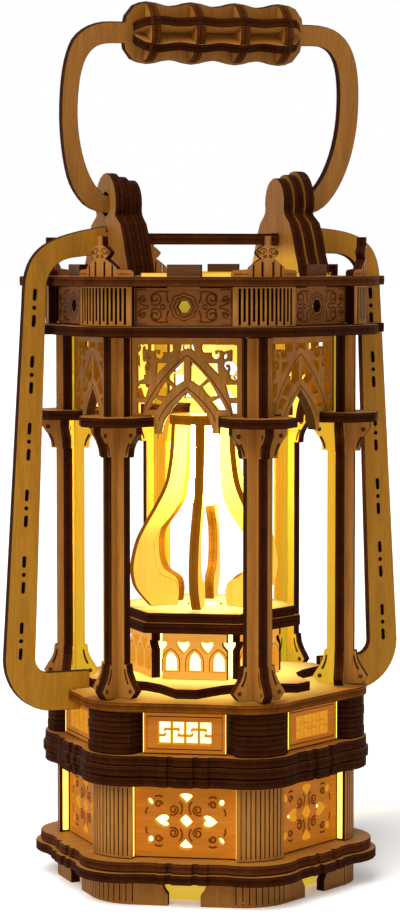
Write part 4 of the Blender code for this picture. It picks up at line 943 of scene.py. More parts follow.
def single(name, node, slot, outline, place, thickness=SHEET, body="lantern", **looks):
    """A piece of one plate."""
    piece = Piece()
    piece.plate(outline, place, thickness, **looks)
    piece.object(name, node, body)


# Base: plinth, mouldings and drum

DRUM_TANGENT = (DRUM_APOTHEM - DRUM_FILLET) * TAN   # half width of a drum face between the bends

def bend_of(apothem, fillet):
    """Where a point of a strip lies once the strip is bent round a corner on +X."""
    centre = (apothem - fillet) / COS
    half_arc = fillet * HALF_CORNER

    def bend(along, up, inward):
        side = -1.0 if along < 0 else 1.0
        angle = side * min(abs(along), half_arc) / fillet
        straight = side * max(abs(along) - half_arc, 0.0)
        radius = fillet - inward
        return (centre + radius * math.cos(angle) - straight * math.sin(angle),
                radius * math.sin(angle) + straight * math.cos(angle), up)
    return bend


def slit_stations(half, count, width):
    """Stations along a strip with this many slits, evenly spread, and which cells are slits."""
    pitch = 2 * half / (count + 1)
    xs = [-half]
    for number in range(1, count + 1):
        middle = -half + number * pitch
        xs += [middle - width / 2, middle + width / 2]
    return xs + [half]


def strip_lining(piece, apothem, fillet, low, high, place, kind="edge"):
    """A thin sheet behind a bent strip, which closes its slits: with a dark kind it paints the shade seen
    through them, with a lamplit one the glow.
    """
    reach = (apothem - fillet) / COS + (fillet - SHEET) * COS - GAP
    half = (fillet - SHEET) / 2 - 0.0005
    piece.plate(rectangle(-half, low, half, high), place @ facing(0, reach, 0.0, LINING), LINING, kind=kind)


# The foot's sloping end: share of the way from its shoulder to its toe, and share of its height there
FOOT_RISE = ((0.0, 1.0), (0.12, 0.97), (0.25, 0.90), (0.40, 0.78), (0.58, 0.64), (0.75, 0.55), (0.90, 0.49),
             (1.0, 0.44))


def plinth():
    piece = Piece()
    height = PLINTH_HEIGHT - TRIM
    side = DRUM_APOTHEM * TAN
    reach = side - DRUM_FILLET * TAN + DRUM_FILLET * HALF_CORNER
    top = reach - PLINTH_OPENING_TOP / 2
    toe = reach - PLINTH_OPENING_BOTTOM / 2
    xs = slit_stations(top * 0.62, 9, 0.00030)
    extra = [top + (toe - top) * share for share, _ in FOOT_RISE]
    heights = {round(x, 7): height * up for x, (_, up) in zip(extra, FOOT_RISE)}
    xs = [-x for x in reversed(extra)] + xs + extra
    first = len(extra)

    def levels(x):
        full = heights.get(round(abs(x), 7), height)
        return [0.0, full * 0.10, full * 0.93, full]

    def is_open(i, j):
        return first <= i < len(xs) - 1 - first and (i - first) % 2 == 1 and j == 1

    for corner in CORNERS:
        piece.cells(xs, levels, is_open, bend_of(DRUM_APOTHEM, DRUM_FILLET), spun(corner), kind="umber")
        strip_lining(piece, DRUM_APOTHEM, DRUM_FILLET, 0.0006, height * 0.95, spun(corner))
    piece.plate(moulding_outline(LOWER_REACH), lifted(Z_LOWER), holes=[box_window(BOX_LEDGE)])
    piece.object("plinth_feet", "plinth")


def lower_moulding():
    single("lower_sheet", "lower_moulding", BURNT, moulding_outline(LOWER_REACH - LOWER_SETBACK),
           lifted(Z_LOWER + PLY), holes=[box_window(0.0)], edge="russet")


# Upper halves of the drum panels' openings
DIAMOND = tenths(19, 0, 11, 10, 0, 20, -11, 10, -19, 0)
HEART = tenths(56, 0, 50, 5, 48, 10, 52, 16, 59, 18, 68, 17, 77, 12, 85, 5, 91, 0)
LEAF = tenths(51, 0, 59, 7, 67, 16, 73, 19, 77, 16, 79, 8, 80, 0)


def doubled(half):
    """A closed outline from its upper half, which runs along +x from point to point."""
    return [*half, *((x, -y) for x, y in reversed(half[1:-1]))]


def shifted(points, up, along=0.0):
    return [(x + along, y + up) for x, y in points]


def scroll(centre, radius, start, turns, steps, tighten=0.25):
    """A spiral line that ends near its centre."""
    points = []
    for step in range(steps + 1):
        share = step / steps
        angle = math.radians(start + 360 * turns * share)
        size = radius * (1 - (1 - tighten) * share)
        points.append((centre[0] + size * math.cos(angle), centre[1] + size * math.sin(angle)))
    return points


def stroke(line, start, end):
    """A band of wood along a line, its width running from start to end, as a closed outline."""
    left, right = sides(line, lambda index: (start + (end - start) * index / (len(line) - 1)) / 2)
    return right + left[::-1]


def both_ways(line):
    """The line and its mirror images in both axes."""
    return [[(a * x, b * y) for x, y in line] for a in (1, -1) for b in (1, -1)]


def drum():
    height = DRUM_HEIGHT - GAP
    margin = 0.0006
    xs = slit_stations(DRUM_FILLET * HALF_CORNER - 0.0004, 10, 0.00034)
    for number, corner in enumerate(CORNERS, 1):
        piece = Piece()
        piece.cells(xs, lambda x: [0.0, margin, height - margin, height], lambda i, j: i % 2 == 1 and j == 1,
                    bend_of(DRUM_APOTHEM, DRUM_FILLET), spun(corner, Z_DRUM))
        strip_lining(piece, DRUM_APOTHEM, DRUM_FILLET, 0.0004, height - 0.0004, spun(corner, Z_DRUM), "lamplit_edge")
        piece.object(f"drum_strip_{number}", f"drum_corner_{number}")
    half = DRUM_TANGENT - GAP + 0.0005
    holes = [doubled(DIAMOND)]
    holes += [turned(doubled(HEART), turn) for turn in (0, 180)]
    holes += [turned(doubled(LEAF), turn) for turn in (90, 270)]
    oval = [(0.0011 * u, 0.00075 * v) for u, v in circle((0.0, 0.0), 1.0, 10)]
    for x, y in tenths(101, 54, -101, 54, 101, -54, -101, -54):
        holes.append(shifted(turned(oval, 62 if x * y > 0 else 118), y, x))
    holes = [shifted(hole, height / 2) for hole in holes]
    lines = []
    for line in (bezier(*tenths(19, 56, 6, 48, 9, 30, 16, 20), 8),
                 scroll((0.0034, 0.0033), 0.0013, 215, -1.3, 22, 0.3),
                 bezier(*tenths(23, 26, 28, 18, 38, 16, 45, 20), 5),
                 scroll((0.0077, 0.0048), 0.0011, 190, -1.2, 18, 0.3),
                 bezier(*tenths(88, 68, 82, 72, 72, 74, 66, 68), 5),
                 bezier(*tenths(108, 38, 113, 32, 115, 24, 112, 18), 5)):
        lines += both_ways(line)
    for number, face in enumerate(FACES, 1):
        piece = Piece()
        place = facing(face, DRUM_APOTHEM - PANEL_RECESS, Z_DRUM)
        piece.plate(rectangle(-half, 0.0, half, height), place, holes=holes, kind="warm_glow", rim="lamplit_rim")
        for line in lines:
            piece.ribbon(shifted(line, height / 2), SCROLL_LINE, place, kind="scroll")
        piece.object(f"drum_face_{number}", f"drum_panel_{number}")


def mid_moulding():
    piece = Piece()
    for sheet in range(MID_SHEETS):
        outline = moulding_outline(MID_REACH + (MID_BULGE if sheet % 2 else 0.0))
        piece.plate(outline, lifted(Z_MID + sheet * PLY), holes=[circle((0.0, 0.0), MID_HOLE_RADIUS)],
                    kind="face" if sheet == MID_SHEETS - 1 else "scorched")
    piece.object("mid_sheets", "mid_moulding")


# Tier

def corner_blocks():
    for number, corner in enumerate(CORNERS, 1):
        piece = Piece()
        for sheet in range(BLOCK_SHEETS):
            piece.plate(block_outline(BLOCK_STEP * 0.3 * (sheet % 2)), spun(corner, Z_BLOCK + sheet * PLY),
                        kind="scorched")
        piece.object(f"block_{number}", f"corner_block_{number}")


KEY_STEP = 0.00385          # from one key of the meander to the next
# Half width of the space between two blocks, less a gap
KEY_HALF = ((KEY_APOTHEM - SHEET - BLOCK_WIDTH / 2 * math.sin(HALF_CORNER)) / COS * math.sin(HALF_CORNER)
            - BLOCK_WIDTH / 2 * COS - GAP)


def key_panels():
    height = Z_TIER - Z_BLOCK - GAP
    middle = height / 2
    w, h, bar, tongue, hook, step = 0.0017, 0.0031, 0.0004, 0.0019, 0.0003, 0.0007
    half_key = [(w, step), (w - tongue + bar, step), (w - tongue + bar, hook), (w - tongue, hook),
                (w - tongue, step + bar), (w, step + bar), (w, h), (-w, h)]
    key = half_key + [(-a, -b) for a, b in half_key]
    holes = []
    for index in range(KEY_COUNT):
        flip = -1 if index % 2 else 1
        holes.append(shifted([(flip * a, b) for a, b in key], middle, (index - (KEY_COUNT - 1) / 2) * KEY_STEP))
    half = KEY_HALF
    border = rectangle(-half + 0.0010, middle - 0.0046, half - 0.0010, middle + 0.0046)
    for number, face in enumerate(FACES, 1):
        piece = Piece()
        place = facing(face, KEY_APOTHEM, Z_BLOCK)
        piece.plate(rectangle(-half, 0.0, half, height), place, holes=holes, kind="warm_glow", rim="lamplit_rim")
        piece.ribbon(border, BORDER_LINE, place, closed=True)
        piece.object(f"meander_{number}", f"key_panel_{number}")


def tier_plate():
    notch = STRAP_LAP - GAP
    outline = []
    for face in FACES:
        if face in (0, 180):
            side = [(SLOT / 2, notch), (SLOT / 2, TIER_WAIST)]
            outline += on_face(flipped(side) + side, face)
        outline += turned(lobe_of(TIER_REACH, TIER_LEAN), face + 30)
    single("tier_sheet", "tier_plate", BURNT, outline, lifted(Z_TIER),
           holes=[circle((0.0, 0.0), TIER_HOLE_RADIUS)], kind="tier", edge="warm_lit_rim")


# Lamp

def star_plate():
    outline = []
    flare = STAR_VALLEY + STAR_FLARE
    valley = [(flare, -STAR_VALLEY_HALF), (STAR_VALLEY, 0.0), (flare, STAR_VALLEY_HALF)]
    for face in FACES:
        outline += on_face([(-STAR_TIP / 2, STAR_REACH), (STAR_TIP / 2, STAR_REACH)], face)
        outline += turned(valley, face + 30)
    single("star_sheet", "star_plate", BURNT, outline, lifted(Z_COLUMN),
           holes=[circle((0.0, 0.0), TIER_HOLE_RADIUS)], kind="star")


def lamp_stand():
    half = (LAMP_DRUM_APOTHEM - SHEET) * TAN - GAP - 0.0004
    pitch, wide = LAMP_ARCH_PITCH, LAMP_ARCH_HALF
    top = LAMP_ARCH_SILL + LAMP_ARCH_HEIGHT
    heart = [(0.0, top - 0.0004), (0.0011, top + 0.0008), (0.0019, top + 0.0022), (0.0017, top + 0.0031),
             (0.0008, top + 0.0029), (0.0, top + 0.0027)]
    spring, rise = LAMP_ARCH_SILL + LAMP_ARCH_HEIGHT * 0.45, LAMP_ARCH_HEIGHT * 0.55
    wider = wide + LAMP_ARCH_RIM
    windows, rims = [], []
    for index in range(LAMP_ARCHES):
        centre = (index - (LAMP_ARCHES - 1) / 2) * pitch
        foot = [(centre - wide, LAMP_ARCH_SILL), (centre + wide, LAMP_ARCH_SILL)]
        windows.append(foot + pointed_arch(centre, wide, spring, rise, 6)[1:-1])
        arch = pointed_arch(centre, wider, spring, rise + 0.0010, 8)
        rims.append([(centre - wider, LAMP_ARCH_SILL), *arch[::-1], (centre + wider, LAMP_ARCH_SILL)])
    for index in range(LAMP_ARCHES - 1):
        windows.append(shifted(heart + flipped(heart[1:-1]), 0.0, (index - (LAMP_ARCHES - 2) / 2) * pitch))
    side = [(half, 0.0), (half, top + 0.0004), (half - 0.0012, top + 0.0018), (half - 0.0014, top + 0.0028),
            (half - 0.0005, top + 0.0031), (half, top + 0.0027), (half, LAMP_DRUM_HEIGHT - TRIM)]
    outline = mirrored(side)
    piece = Piece()
    for face in FACES:
        place = facing(face, LAMP_DRUM_APOTHEM, Z_LAMP_DRUM)
        piece.plate(outline, place, holes=windows, kind="bright", rim="lamplit_rim")
        for rim in rims:
            piece.ribbon(rim, ARCADE_LINE, place)
    hole = circle((0.0, 0.0), LAMP_HOLE_RADIUS)
    piece.plate(hexagon(LAMP_LOWER_REACH), lifted(Z_LAMP), PLY - TRIM, [hole])
    piece.plate(hexagon(LAMP_UPPER_REACH), lifted(Z_LAMP + PLY), PLY - GAP, [hole], kind="stage")
    piece.object("lamp_base", "lamp_stand")


def chimney():
    piece = Piece()
    scale = RIB_HEIGHT / RIB_OUTER[-1][0]
    outer = [(out, up * scale) for up, out in smooth(RIB_OUTER, 5)]
    inner = [(out, up * scale) for up, out in smooth(RIB_INNER, 5)]
    for face in FACES:
        piece.plate(outer + inner, radial(face, Z_RIB), grain=90.0, kind="rib", edge="lamplit_edge")
    hole = circle((0.0, 0.0), TUBE_RADIUS + GAP, 32)
    piece.plate(circle((0.0, 0.0), COLLAR_RADIUS, 48), lifted(Z_COLLAR), holes=[hole], kind="lit",
                edge="lamplit_edge", rim="lamplit_rim")
    piece.object("chimney_ribs", "chimney")


# Columns, capital plates and windows

def bracket_marks():
    """Engraved dashes and dots on the brackets of a column's sheet, first those of its right half."""
    head, foot = CAPITAL_LEVEL, FOOT_HEIGHT
    high = bezier(*((x, head - down) for x, down in tenths(46, 80, 49, 66, 52, 58, 60, 46)), 5)
    low = bezier(*((x, foot - down) for x, down in tenths(40, 14, 41, 30, 45, 42, 53, 56)), 5)
    marks = [stroke(high, 0.0005, 0.0008), circle((0.0064, head - 0.0024), 0.00068, 10),
             stroke(low, 0.0005, 0.0007), circle((0.0060, 0.0022), 0.00065, 10)]
    return marks + [[(-x, y) for x, y in mark] for mark in marks]


def columns():
    octagon = turned(circle((0.0, 0.0), CAPITAL_HALF / math.cos(math.pi / 8), 8), 22.5)
    marks = bracket_marks()
    half_turn = Matrix.Rotation(math.pi, 4, "Z")
    # The radial sheet carries painted lamp glow on its inner half and inner edge, the cross sheet on its inward
    # face
    sheets = ((mirrored(column_profile(0.0)), radial(0, 0.0), "column", None, "heart"),
              (mirrored(column_profile(TRIM)), facing(0, SHEET / 2, 0.0), "face", "flank", "edge"))
    for number, corner in enumerate(CORNERS, 1):
        piece = Piece()
        place = spun(corner, Z_COLUMN) @ Matrix.Translation((COLUMN_RADIUS, 0.0, 0.0))
        for outline, stand, kind, back, edge in sheets:
            piece.plate(outline, place @ stand, grain=90.0, kind=kind, back=back, edge=edge)
            for mark in marks:
                piece.spot(mark, place @ stand)
                piece.spot(mark, place @ half_turn @ stand)
        piece.plate(octagon, place @ lifted(CAPITAL_LEVEL))
        piece.object(f"pillar_{number}", f"column_{number}")


def tracery_holes(half, height):
    """Openings between the arches, of the spandrels with their curled leaves, and beside the outer arch."""
    side, head = half - WINDOW_MARGIN, height - WINDOW_HEAD
    # All but the last are given as distance from the middle and depth below the head
    right = [tenths(41, 0, 40, 15, 44, 22, 68, 22, 67, 31, 73, 39, 82, 41, 90, 36, 92, 27, 89, 20, 83, 19, 85,
                    26, 80, 27, 78, 16, 94, 16, 101, 20, 124, 13, 126, 20, 125, 47, 113, 46, 104, 51, 102, 60,
                    108, 70, 114, 71, 116, 64, 109, 62, 110, 55, 118, 56, 120, 66, 117, 82, 122, 96)
             + [(side, 0.0104), (side, 0.0)]]
    right.append(tenths(105, 26, 112, 24, 114, 31, 110, 38, 103, 41, 101, 34))
    right.append(tenths(56, 52, 86, 52, 89, 87, 80, 77))
    right.append([(0.0107, 0.0112), (side, 0.0111), (side, 0.0148), (0.0117, 0.0148)])
    right.append([(0.0120, 0.0163), (side, 0.0163), (side, 0.0193), (0.0127, 0.0193)])
    right.append(tenths(9, 44, 34, 68, 57, 94, 33, 116, 9, 101))
    right.append(tenths(63, 102, 75, 121, 87, 143, 63, 146, 52, 135, 41, 119))
    right = [[(x, head - down) for x, down in hole] for hole in right]
    right.append(arch_cell())
    saddle = tenths(-18, 0, 18, 0, 22, 21, 11, 15, 0, 11, -11, 15, -22, 21)
    return [[(x, head - down) for x, down in saddle]] + right + [flipped(hole) for hole in right]


LIP = 0.0010                # thickness of the lips that close the gaps beside a window panel


def window_panels():
    half = window_half() + 0.00028
    sill = Z_CAPITAL + PLY
    height = Z_CORNICE - sill - GAP
    outline = window_outline(half, height)
    holes = tracery_holes(half, height)
    lines = []
    for outside, inside, start in ((OUTER_ARCH, OUTER_ARCH_INSIDE, 0.0), (INNER_ARCH, INNER_ARCH_INSIDE, 0.1)):
        line = []
        for share in shares_between(start, 1.0, 16):
            a, b = at_share(outside, share), at_share(inside, share)
            line.append(((a[0] + b[0]) / 2, (a[1] + b[1]) / 2))
        lines += [line, [(-x, y) for x, y in line]]
    for number, face in enumerate(FACES, 1):
        piece = Piece()
        place = facing(face, WINDOW_APOTHEM, sill)
        piece.plate(outline, place, holes=holes, grain=90.0, back="inner", rim="lamplit_edge")
        for line in lines:
            piece.ribbon(line, TRACERY_LINE, place)
        for way in (-1, 1):
            left, right = sorted((way * (half + 0.00004), way * (half + 0.00088)))
            piece.plate(rectangle(left, 0.0, right, height), facing(face, WINDOW_APOTHEM, sill, LIP), LIP,
                        grain=90.0)
        piece.object(f"tracery_{number}", f"window_panel_{number}")


# Cornice, frieze and crests

CREST_SHOULDER = tenths(0, 50, 18, 50, 24, 47, 53, 27, 56, 21, 98, 18, 104, 12)
CREST_HEAD_LOW = tenths(0, 51, 18, 51, 24, 54, 34, 64)
CREST_HEAD = tenths(0, 112, 9, 112, 10, 86, 16, 84, 22, 79, 34, 70)


def level_at(contour, x):
    """Height of a contour at this distance from its middle."""
    for (x0, y0), (x1, y1) in zip(contour, contour[1:]):
        if x0 <= abs(x) <= x1:
            return y0 + (y1 - y0) * (abs(x) - x0) / ((x1 - x0) or 1.0)
    return contour[-1][1]


def crest(piece, place):
    """A fluted body with sloping shoulders, a scrolled head on a neck and a finial."""
    bend = bend_of(FRIEZE_APOTHEM, FRIEZE_FILLET)
    slits = [(0.0013, 0.0018), (0.0039, 0.0044)]
    marks = {x for pair in slits for x in pair} | {x for x, _ in CREST_SHOULDER + CREST_HEAD_LOW + CREST_HEAD}
    xs = sorted({side * x for x in marks for side in (1, -1)})

    def levels(x):
        body = level_at(CREST_SHOULDER, x)
        low = max(level_at(CREST_HEAD_LOW, x), body + 0.00005)
        return [0.0, min(body, 0.0044) * 0.94, body, low, max(level_at(CREST_HEAD, x), low + 0.00005)]

    def is_open(i, j):
        middle = abs(xs[i] + xs[i + 1]) / 2
        if j == 0:
            return any(near < middle < far for near, far in slits)
        if j == 2:
            return middle > 0.0018
        return j == 3 and middle > 0.0034

    piece.cells(xs, levels, is_open, bend, place)

    def onto(line, width):
        """An engraved line wrapped round the crest."""
        left, right = sides(line, lambda index: width / 2)
        points = [place @ Vector(bend(x, y, -LINE_LIFT)) for pair in zip(right, left) for x, y in pair]
        faces = [(a, a + 2, a + 3, a + 1) for a in range(0, 2 * len(line) - 2, 2)]
        sheet = [(MM * x, MM * y, 1.0) for x, y in line[:-1] for _ in range(4)]
        piece.add(points, faces, "line", sheet)

    for side in (1, -1):
        for cx, cy, radius, start in ((0.0015, 0.0069, 0.0011, 180), (0.0026, 0.0066, 0.0006, 90),
                                      (0.0008, 0.0057, 0.0005, 0)):
            onto([(side * x, y) for x, y in scroll((cx, cy), radius, start, -1.2, 16, 0.3)],
                 CREST_SCROLL_LINE)
        for x0, y0, x1, y1 in ((0.0019, 0.0003, 0.0019, 0.0047), (0.0058, 0.0008, 0.0095, 0.0008),
                               (0.0007, 0.0086, 0.0006, 0.0108)):
            onto([(side * x0, y0), (side * x1, y1)], CREST_LINE)


def cornice():
    outline = cornice_outline()
    single("cornice_under", "cornice_bottom", BURNT, outline, lifted(Z_CORNICE),
           holes=spoke_holes(HUB_RADIUS, WELL_RADIUS))
    piece = Piece()
    piece.plate(outline, lifted(Z_TOP), holes=[circle((0.0, 0.0), WELL_RADIUS, 48)] + tenon_slots(),
                edge="russet")
    for corner in CORNERS:
        crest(piece, spun(corner, Z_ROOF - GAP))
    piece.object("cornice_over", "cornice_top")


def frieze_lines(height):
    """Engraved scrolls to both sides of the medallion."""
    big = scroll((0.0079, 0.0023), 0.0019, -60, -1.35, 26, 0.22)
    small = scroll((0.0115, 0.0024), 0.0012, 140, 1.2, 20, 0.25)
    lines = (bezier(*tenths(46, 40, 60, 46, 92, 44, 98, 20), 6)[:-1] + big,
             bezier(*tenths(98, 3, 112, 2, 128, 10, 130, 22), 6) + small[3:],
             bezier(*tenths(42, 10, 50, 26, 50, 36, 44, 46), 6),
             tenths(52, 2, 60, 7, 66, 2),
             tenths(134, 0, 134, 48, 104, 48))
    return [shifted(copy, height / 2) for line in lines for copy in both_ways(line)]


def frieze():
    piece = Piece()
    height = FRIEZE_HEIGHT - GAP
    half = FRIEZE_FILLET * HALF_CORNER
    flat = (FRIEZE_APOTHEM - FRIEZE_FILLET) * TAN
    xs = [-half] + slit_stations(half - 0.0006, 13, 0.00070) + [half]
    levels = [0.0, 0.0003, 0.0013, height - 0.0001, height + 0.0002]

    def is_open(i, j):
        if i < 2 or i > len(xs) - 4 or i % 2:
            return False
        return j == 2 or (j == 1 and (i // 2) % 2 == 1)

    for corner in CORNERS:
        place = spun(corner, Z_FRIEZE)
        piece.cells(xs, lambda x: levels, is_open, bend_of(FRIEZE_APOTHEM, FRIEZE_FILLET), place)
        strip_lining(piece, FRIEZE_APOTHEM, FRIEZE_FILLET, 0.0003, height - 0.0003, place)
    rise = Z_ROOF - Z_FRIEZE + TENON_RISE
    wide = TENON_WIDTH / 2
    outline = [(-flat, 0.0)] + mirrored([(flat, 0.0), (flat, height), (wide, height), (wide, rise)])[:-1]
    centre = (0.0, height / 2)
    lines = frieze_lines(height)
    for face in FACES:
        place = facing(face, FRIEZE_APOTHEM - PANEL_RECESS, Z_FRIEZE)
        piece.plate(outline, place, holes=[circle(centre, MEDALLION_RADIUS, 6)], kind="shade")
        tenon = rectangle(-wide, Z_ROOF - Z_FRIEZE, wide, rise)
        piece.spot(tenon, place, kind="scorched")
        piece.spot(tenon, place @ Matrix.Rotation(math.pi, 4, "Y"), 0.0, kind="scorched")
        for radius, width in ((0.0027, 0.00045), (0.0037, 0.00035)):
            ring = []
            for step in range(0, 360, 6):
                reach = radius + 0.0002 * math.cos(math.radians(8 * step))
                ring.append((centre[0] + reach * math.cos(math.radians(step)),
                             centre[1] + reach * math.sin(math.radians(step))))
            piece.ribbon(ring, width, place, closed=True, kind="faint")
        for line in lines:
            piece.ribbon(line, FRIEZE_LINE, place, kind="faint")
    piece.object("frieze_ring", "frieze")


# Ears, spreader and straps

EAST_EAR = (1.06, 1.04)     # the east ear is this much wider and taller than the west one


def ears():
    strap_low = STRAP_ARM_TOP - STRAP_ARM_HEIGHT / 2 - STRAP_TENON / 2 - GAP
    bar = SPREADER_TENON / 2 + GAP
    for name, node, side in (("ear_east", "ear_right", 0), ("ear_west", "ear_left", 180)):
        piece = Piece()
        thickness = EAR_SHEETS * PLY - GAP
        for layer in range(EAR_SHEETS):
            wide, tall = (1.0, 1.0) if side else EAST_EAR
            outline = [(x * wide, y * tall) for x, y in ear_outline(EAR_LAYER_STEP * (EAR_SHEETS - 1 - layer))]
            holes = []
            if layer:
                holes.append(circle((0.0, PIVOT_HEIGHT), EYE_RADIUS, 24))
            if layer < 2:
                holes.append(rectangle(-bar, SPREADER_LEVEL - GAP, bar, SPREADER_LEVEL + SHEET + GAP))
            else:
                holes.append(rectangle(-SLOT / 2, strap_low, SLOT / 2, strap_low + STRAP_TENON + 2 * GAP))
            place = facing(side, EAR_OUTER_FACE, Z_ROOF, thickness) @ lifted(layer * PLY)
            piece.plate(outline, place, holes=holes, grain=90.0, kind="umber", back=None if layer else "uplit")
        piece.object(name, node)


SPREADER_SWELL = 0.0005     # the crossbar's sheet is this much thicker


def spreader():
    inner = EAR_OUTER_FACE - SHEET - 2 * PLY - GAP
    end = EAR_OUTER_FACE - SHEET - GAP - GAP
    wide, thin = SPREADER_WIDTH / 2, SPREADER_TENON / 2
    outline = [(inner, -wide), (inner, -thin), (end, -thin), (end, thin), (inner, thin), (inner, wide)]
    outline += [(-x, -y) for x, y in outline]
    single("crossbar", "spreader", BURNT, outline, lifted(Z_ROOF + SPREADER_LEVEL - SPREADER_SWELL / 2),
           SHEET + SPREADER_SWELL, edge="russet")


SHELF_END = 0.0363          # where the shelf over a strap's foot ends
DROOP_LOW = 0.0450          # the droop starts this far below the strap's top
DROOP_RUN = 0.0300          # and is full this much higher up


def straps():
    """Flat straps, with the droop of the shoulder and the depth of the foot that each shows."""
    for name, node, side, droop, deeper in (("strap_east", "strap_right", 0, 0.0, 0.0007),
                                            ("strap_west", "strap_left", 180, 0.0030, 0.0013)):
        piece = Piece()
        root, top = EAR_OUTER_FACE + GAP, Z_ROOF + STRAP_ARM_TOP
        outline = []
        for x, y in strap_outline():
            out = max(0.0, min(1.0, (x - root) / (STRAP_TOP_OUTER - root)))
            up = eased((y - top + DROOP_LOW) / DROOP_RUN)
            down = max(0.0, min(1.0, (Z_TIER + STRAP_FOOT_BEND - y) / (STRAP_FOOT_BEND + STRAP_LOW_EDGE)))
            x = SHELF_END if x < STRAP_FOOT_OUTER * 0.65 and Z_TIER + SHEET < y < Z_TIER + 0.02 else x
            low = y < Z_TIER - GAP - 0.0001 or x > STRAP_FOOT_OUTER - STRAP_FOOT_WIDTH + 0.0003
            outline.append((x, y - droop * out * up - (deeper * down if low else 0.0)))
        piece.plate(outline, radial(side, 0.0), holes=strap_slits(), grain=90.0, kind="strap_glow")
        # Dark sheets in the strap's slits paint the shade seen through them
        inside = radial(side, 0.0) @ lifted((SHEET - LINING) / 2)
        for slit in strap_slits():
            piece.plate(shifted(slit, 0.0, -0.00001), inside, LINING, kind="edge")
        piece.object(name, node)


SLIT_GROUPS = 6
SLIT_TOP = 0.1676           # height of the highest group's middle
SLIT_PITCH = 0.0190         # from one group down to the next
SLIT_END = 0.00045          # radius of a slit's rounded ends


def strap_slits():
    """Six groups of a slit, a round hole and a slit, down the middle of the upright arm."""
    high, low = Z_ROOF + STRAP_ARM_TOP - STRAP_SHOULDER, Z_TIER - STRAP_LOW_EDGE + STRAP_FOOT_BEND

    def middle(z):
        share = (high - z) / (high - low)
        top = STRAP_TOP_OUTER - STRAP_TOP_WIDTH / 2
        return top + (STRAP_FOOT_OUTER - STRAP_FOOT_WIDTH / 2 - top) * share

    end = SLIT_END
    holes = []
    for index in range(SLIT_GROUPS):
        z = SLIT_TOP - SLIT_PITCH * index
        for down, up in ((-0.0053, -0.0021), (0.0021, 0.0053)):
            x0, x1 = middle(z + down), middle(z + up)
            holes.append(arc((x1, z + up - end), end, 0, 180, 5) + arc((x0, z + down + end), end, 180, 360, 5))
        holes.append(circle((middle(z), z), 0.0005, 12))
    return holes


# Bail and grip

BAIL_TILT = 0.014           # rise of the handle to the east, from the play in its eyes
HANDLE_SHIFT = 0.0005       # to the west, once it has left the ears
BAIL_ROOT = 0.0080          # height above the pivot up to which the bail isn't tilted
WEST_LIMB = 0.0420          # beyond this distance the west limb is narrower
WEST_SHARE = 0.72           # by this factor
HANDLE_DROP = 0.0002        # and the whole handle sits this much lower
GRIP_LEAN = 26.8            # half the angle between the grip's crossed plates, in degrees
GRIP_SHORTER = 0.937
GRIP_NEAR = 0.0032          # from the grip's axis to the plates' inner edge


def bail():
    """The bail and its grip, a little askew in their eyes."""
    place = lifted(Z_PIVOT) @ Matrix.Rotation(BAIL_LEAN, 4, "X")
    sheet = []
    for x, y in bail_outline():
        share = eased((y - BAIL_ROOT) / (BAIL_HEIGHT - BAIL_ROOT))
        x = x if x > -WEST_LIMB else -WEST_LIMB + (x + WEST_LIMB) * WEST_SHARE
        sheet.append((x - HANDLE_SHIFT * share, y + share * (BAIL_TILT * x - HANDLE_DROP)))
    single("bail_sheet", "bail", "plywood", sheet, place @ radial(0, 0.0), body="bail", grain=90.0,
           kind="umber")
    grip = place @ Matrix.Translation((-HANDLE_SHIFT, 0.0, BAIL_HEIGHT)) @ Matrix.Rotation(-BAIL_TILT, 4, "Y")
    for name, node, side in (("grip_far", "grip_back", 0), ("grip_near", "grip_front", 180)):
        piece = Piece()
        edge = [(x * GRIP_SHORTER, y) for x, y in grip_edge()]
        for lean in (-GRIP_LEAN, GRIP_LEAN):
            stand = grip @ spun(side) @ Matrix.Rotation(math.radians(lean), 4, "X")
            piece.plate([(edge[-1][0], GRIP_NEAR), (edge[0][0], GRIP_NEAR)] + edge, stand @ lifted(-SHEET / 2))
        near = SHEET / 2 + 2 * GAP
        spread = math.degrees(math.acos(near / (GRIP_RADIUS - GAP)))
        for along in grip_ring_places():
            stand = grip @ Matrix.Translation((along, 0.0, 0.0)) @ spun(side) @ radial(90, 0.0)
            piece.plate(arc((0.0, 0.0), GRIP_RADIUS - GAP, -spread, spread, 24), stand, edge="russet")
        piece.object(name, node, body="bail")


# Light inside: diffusers behind the pierced panels

def light(name, panels):
    """A lit piece of upright sheets, each as (degrees, distance, height, box, face's kind, edge's kind)."""
    piece = Piece()
    for degrees, outer, height, box, kind, edge in panels:
        piece.plate(rectangle(*box), facing(degrees, outer, height, LINING), LINING, kind=kind, edge=edge)
    piece.object(name)


def light_disc(name, radius, low, thickness):
    single(name, None, LIGHT, circle((0.0, 0.0), radius, 24), lifted(low), thickness, kind="glow")


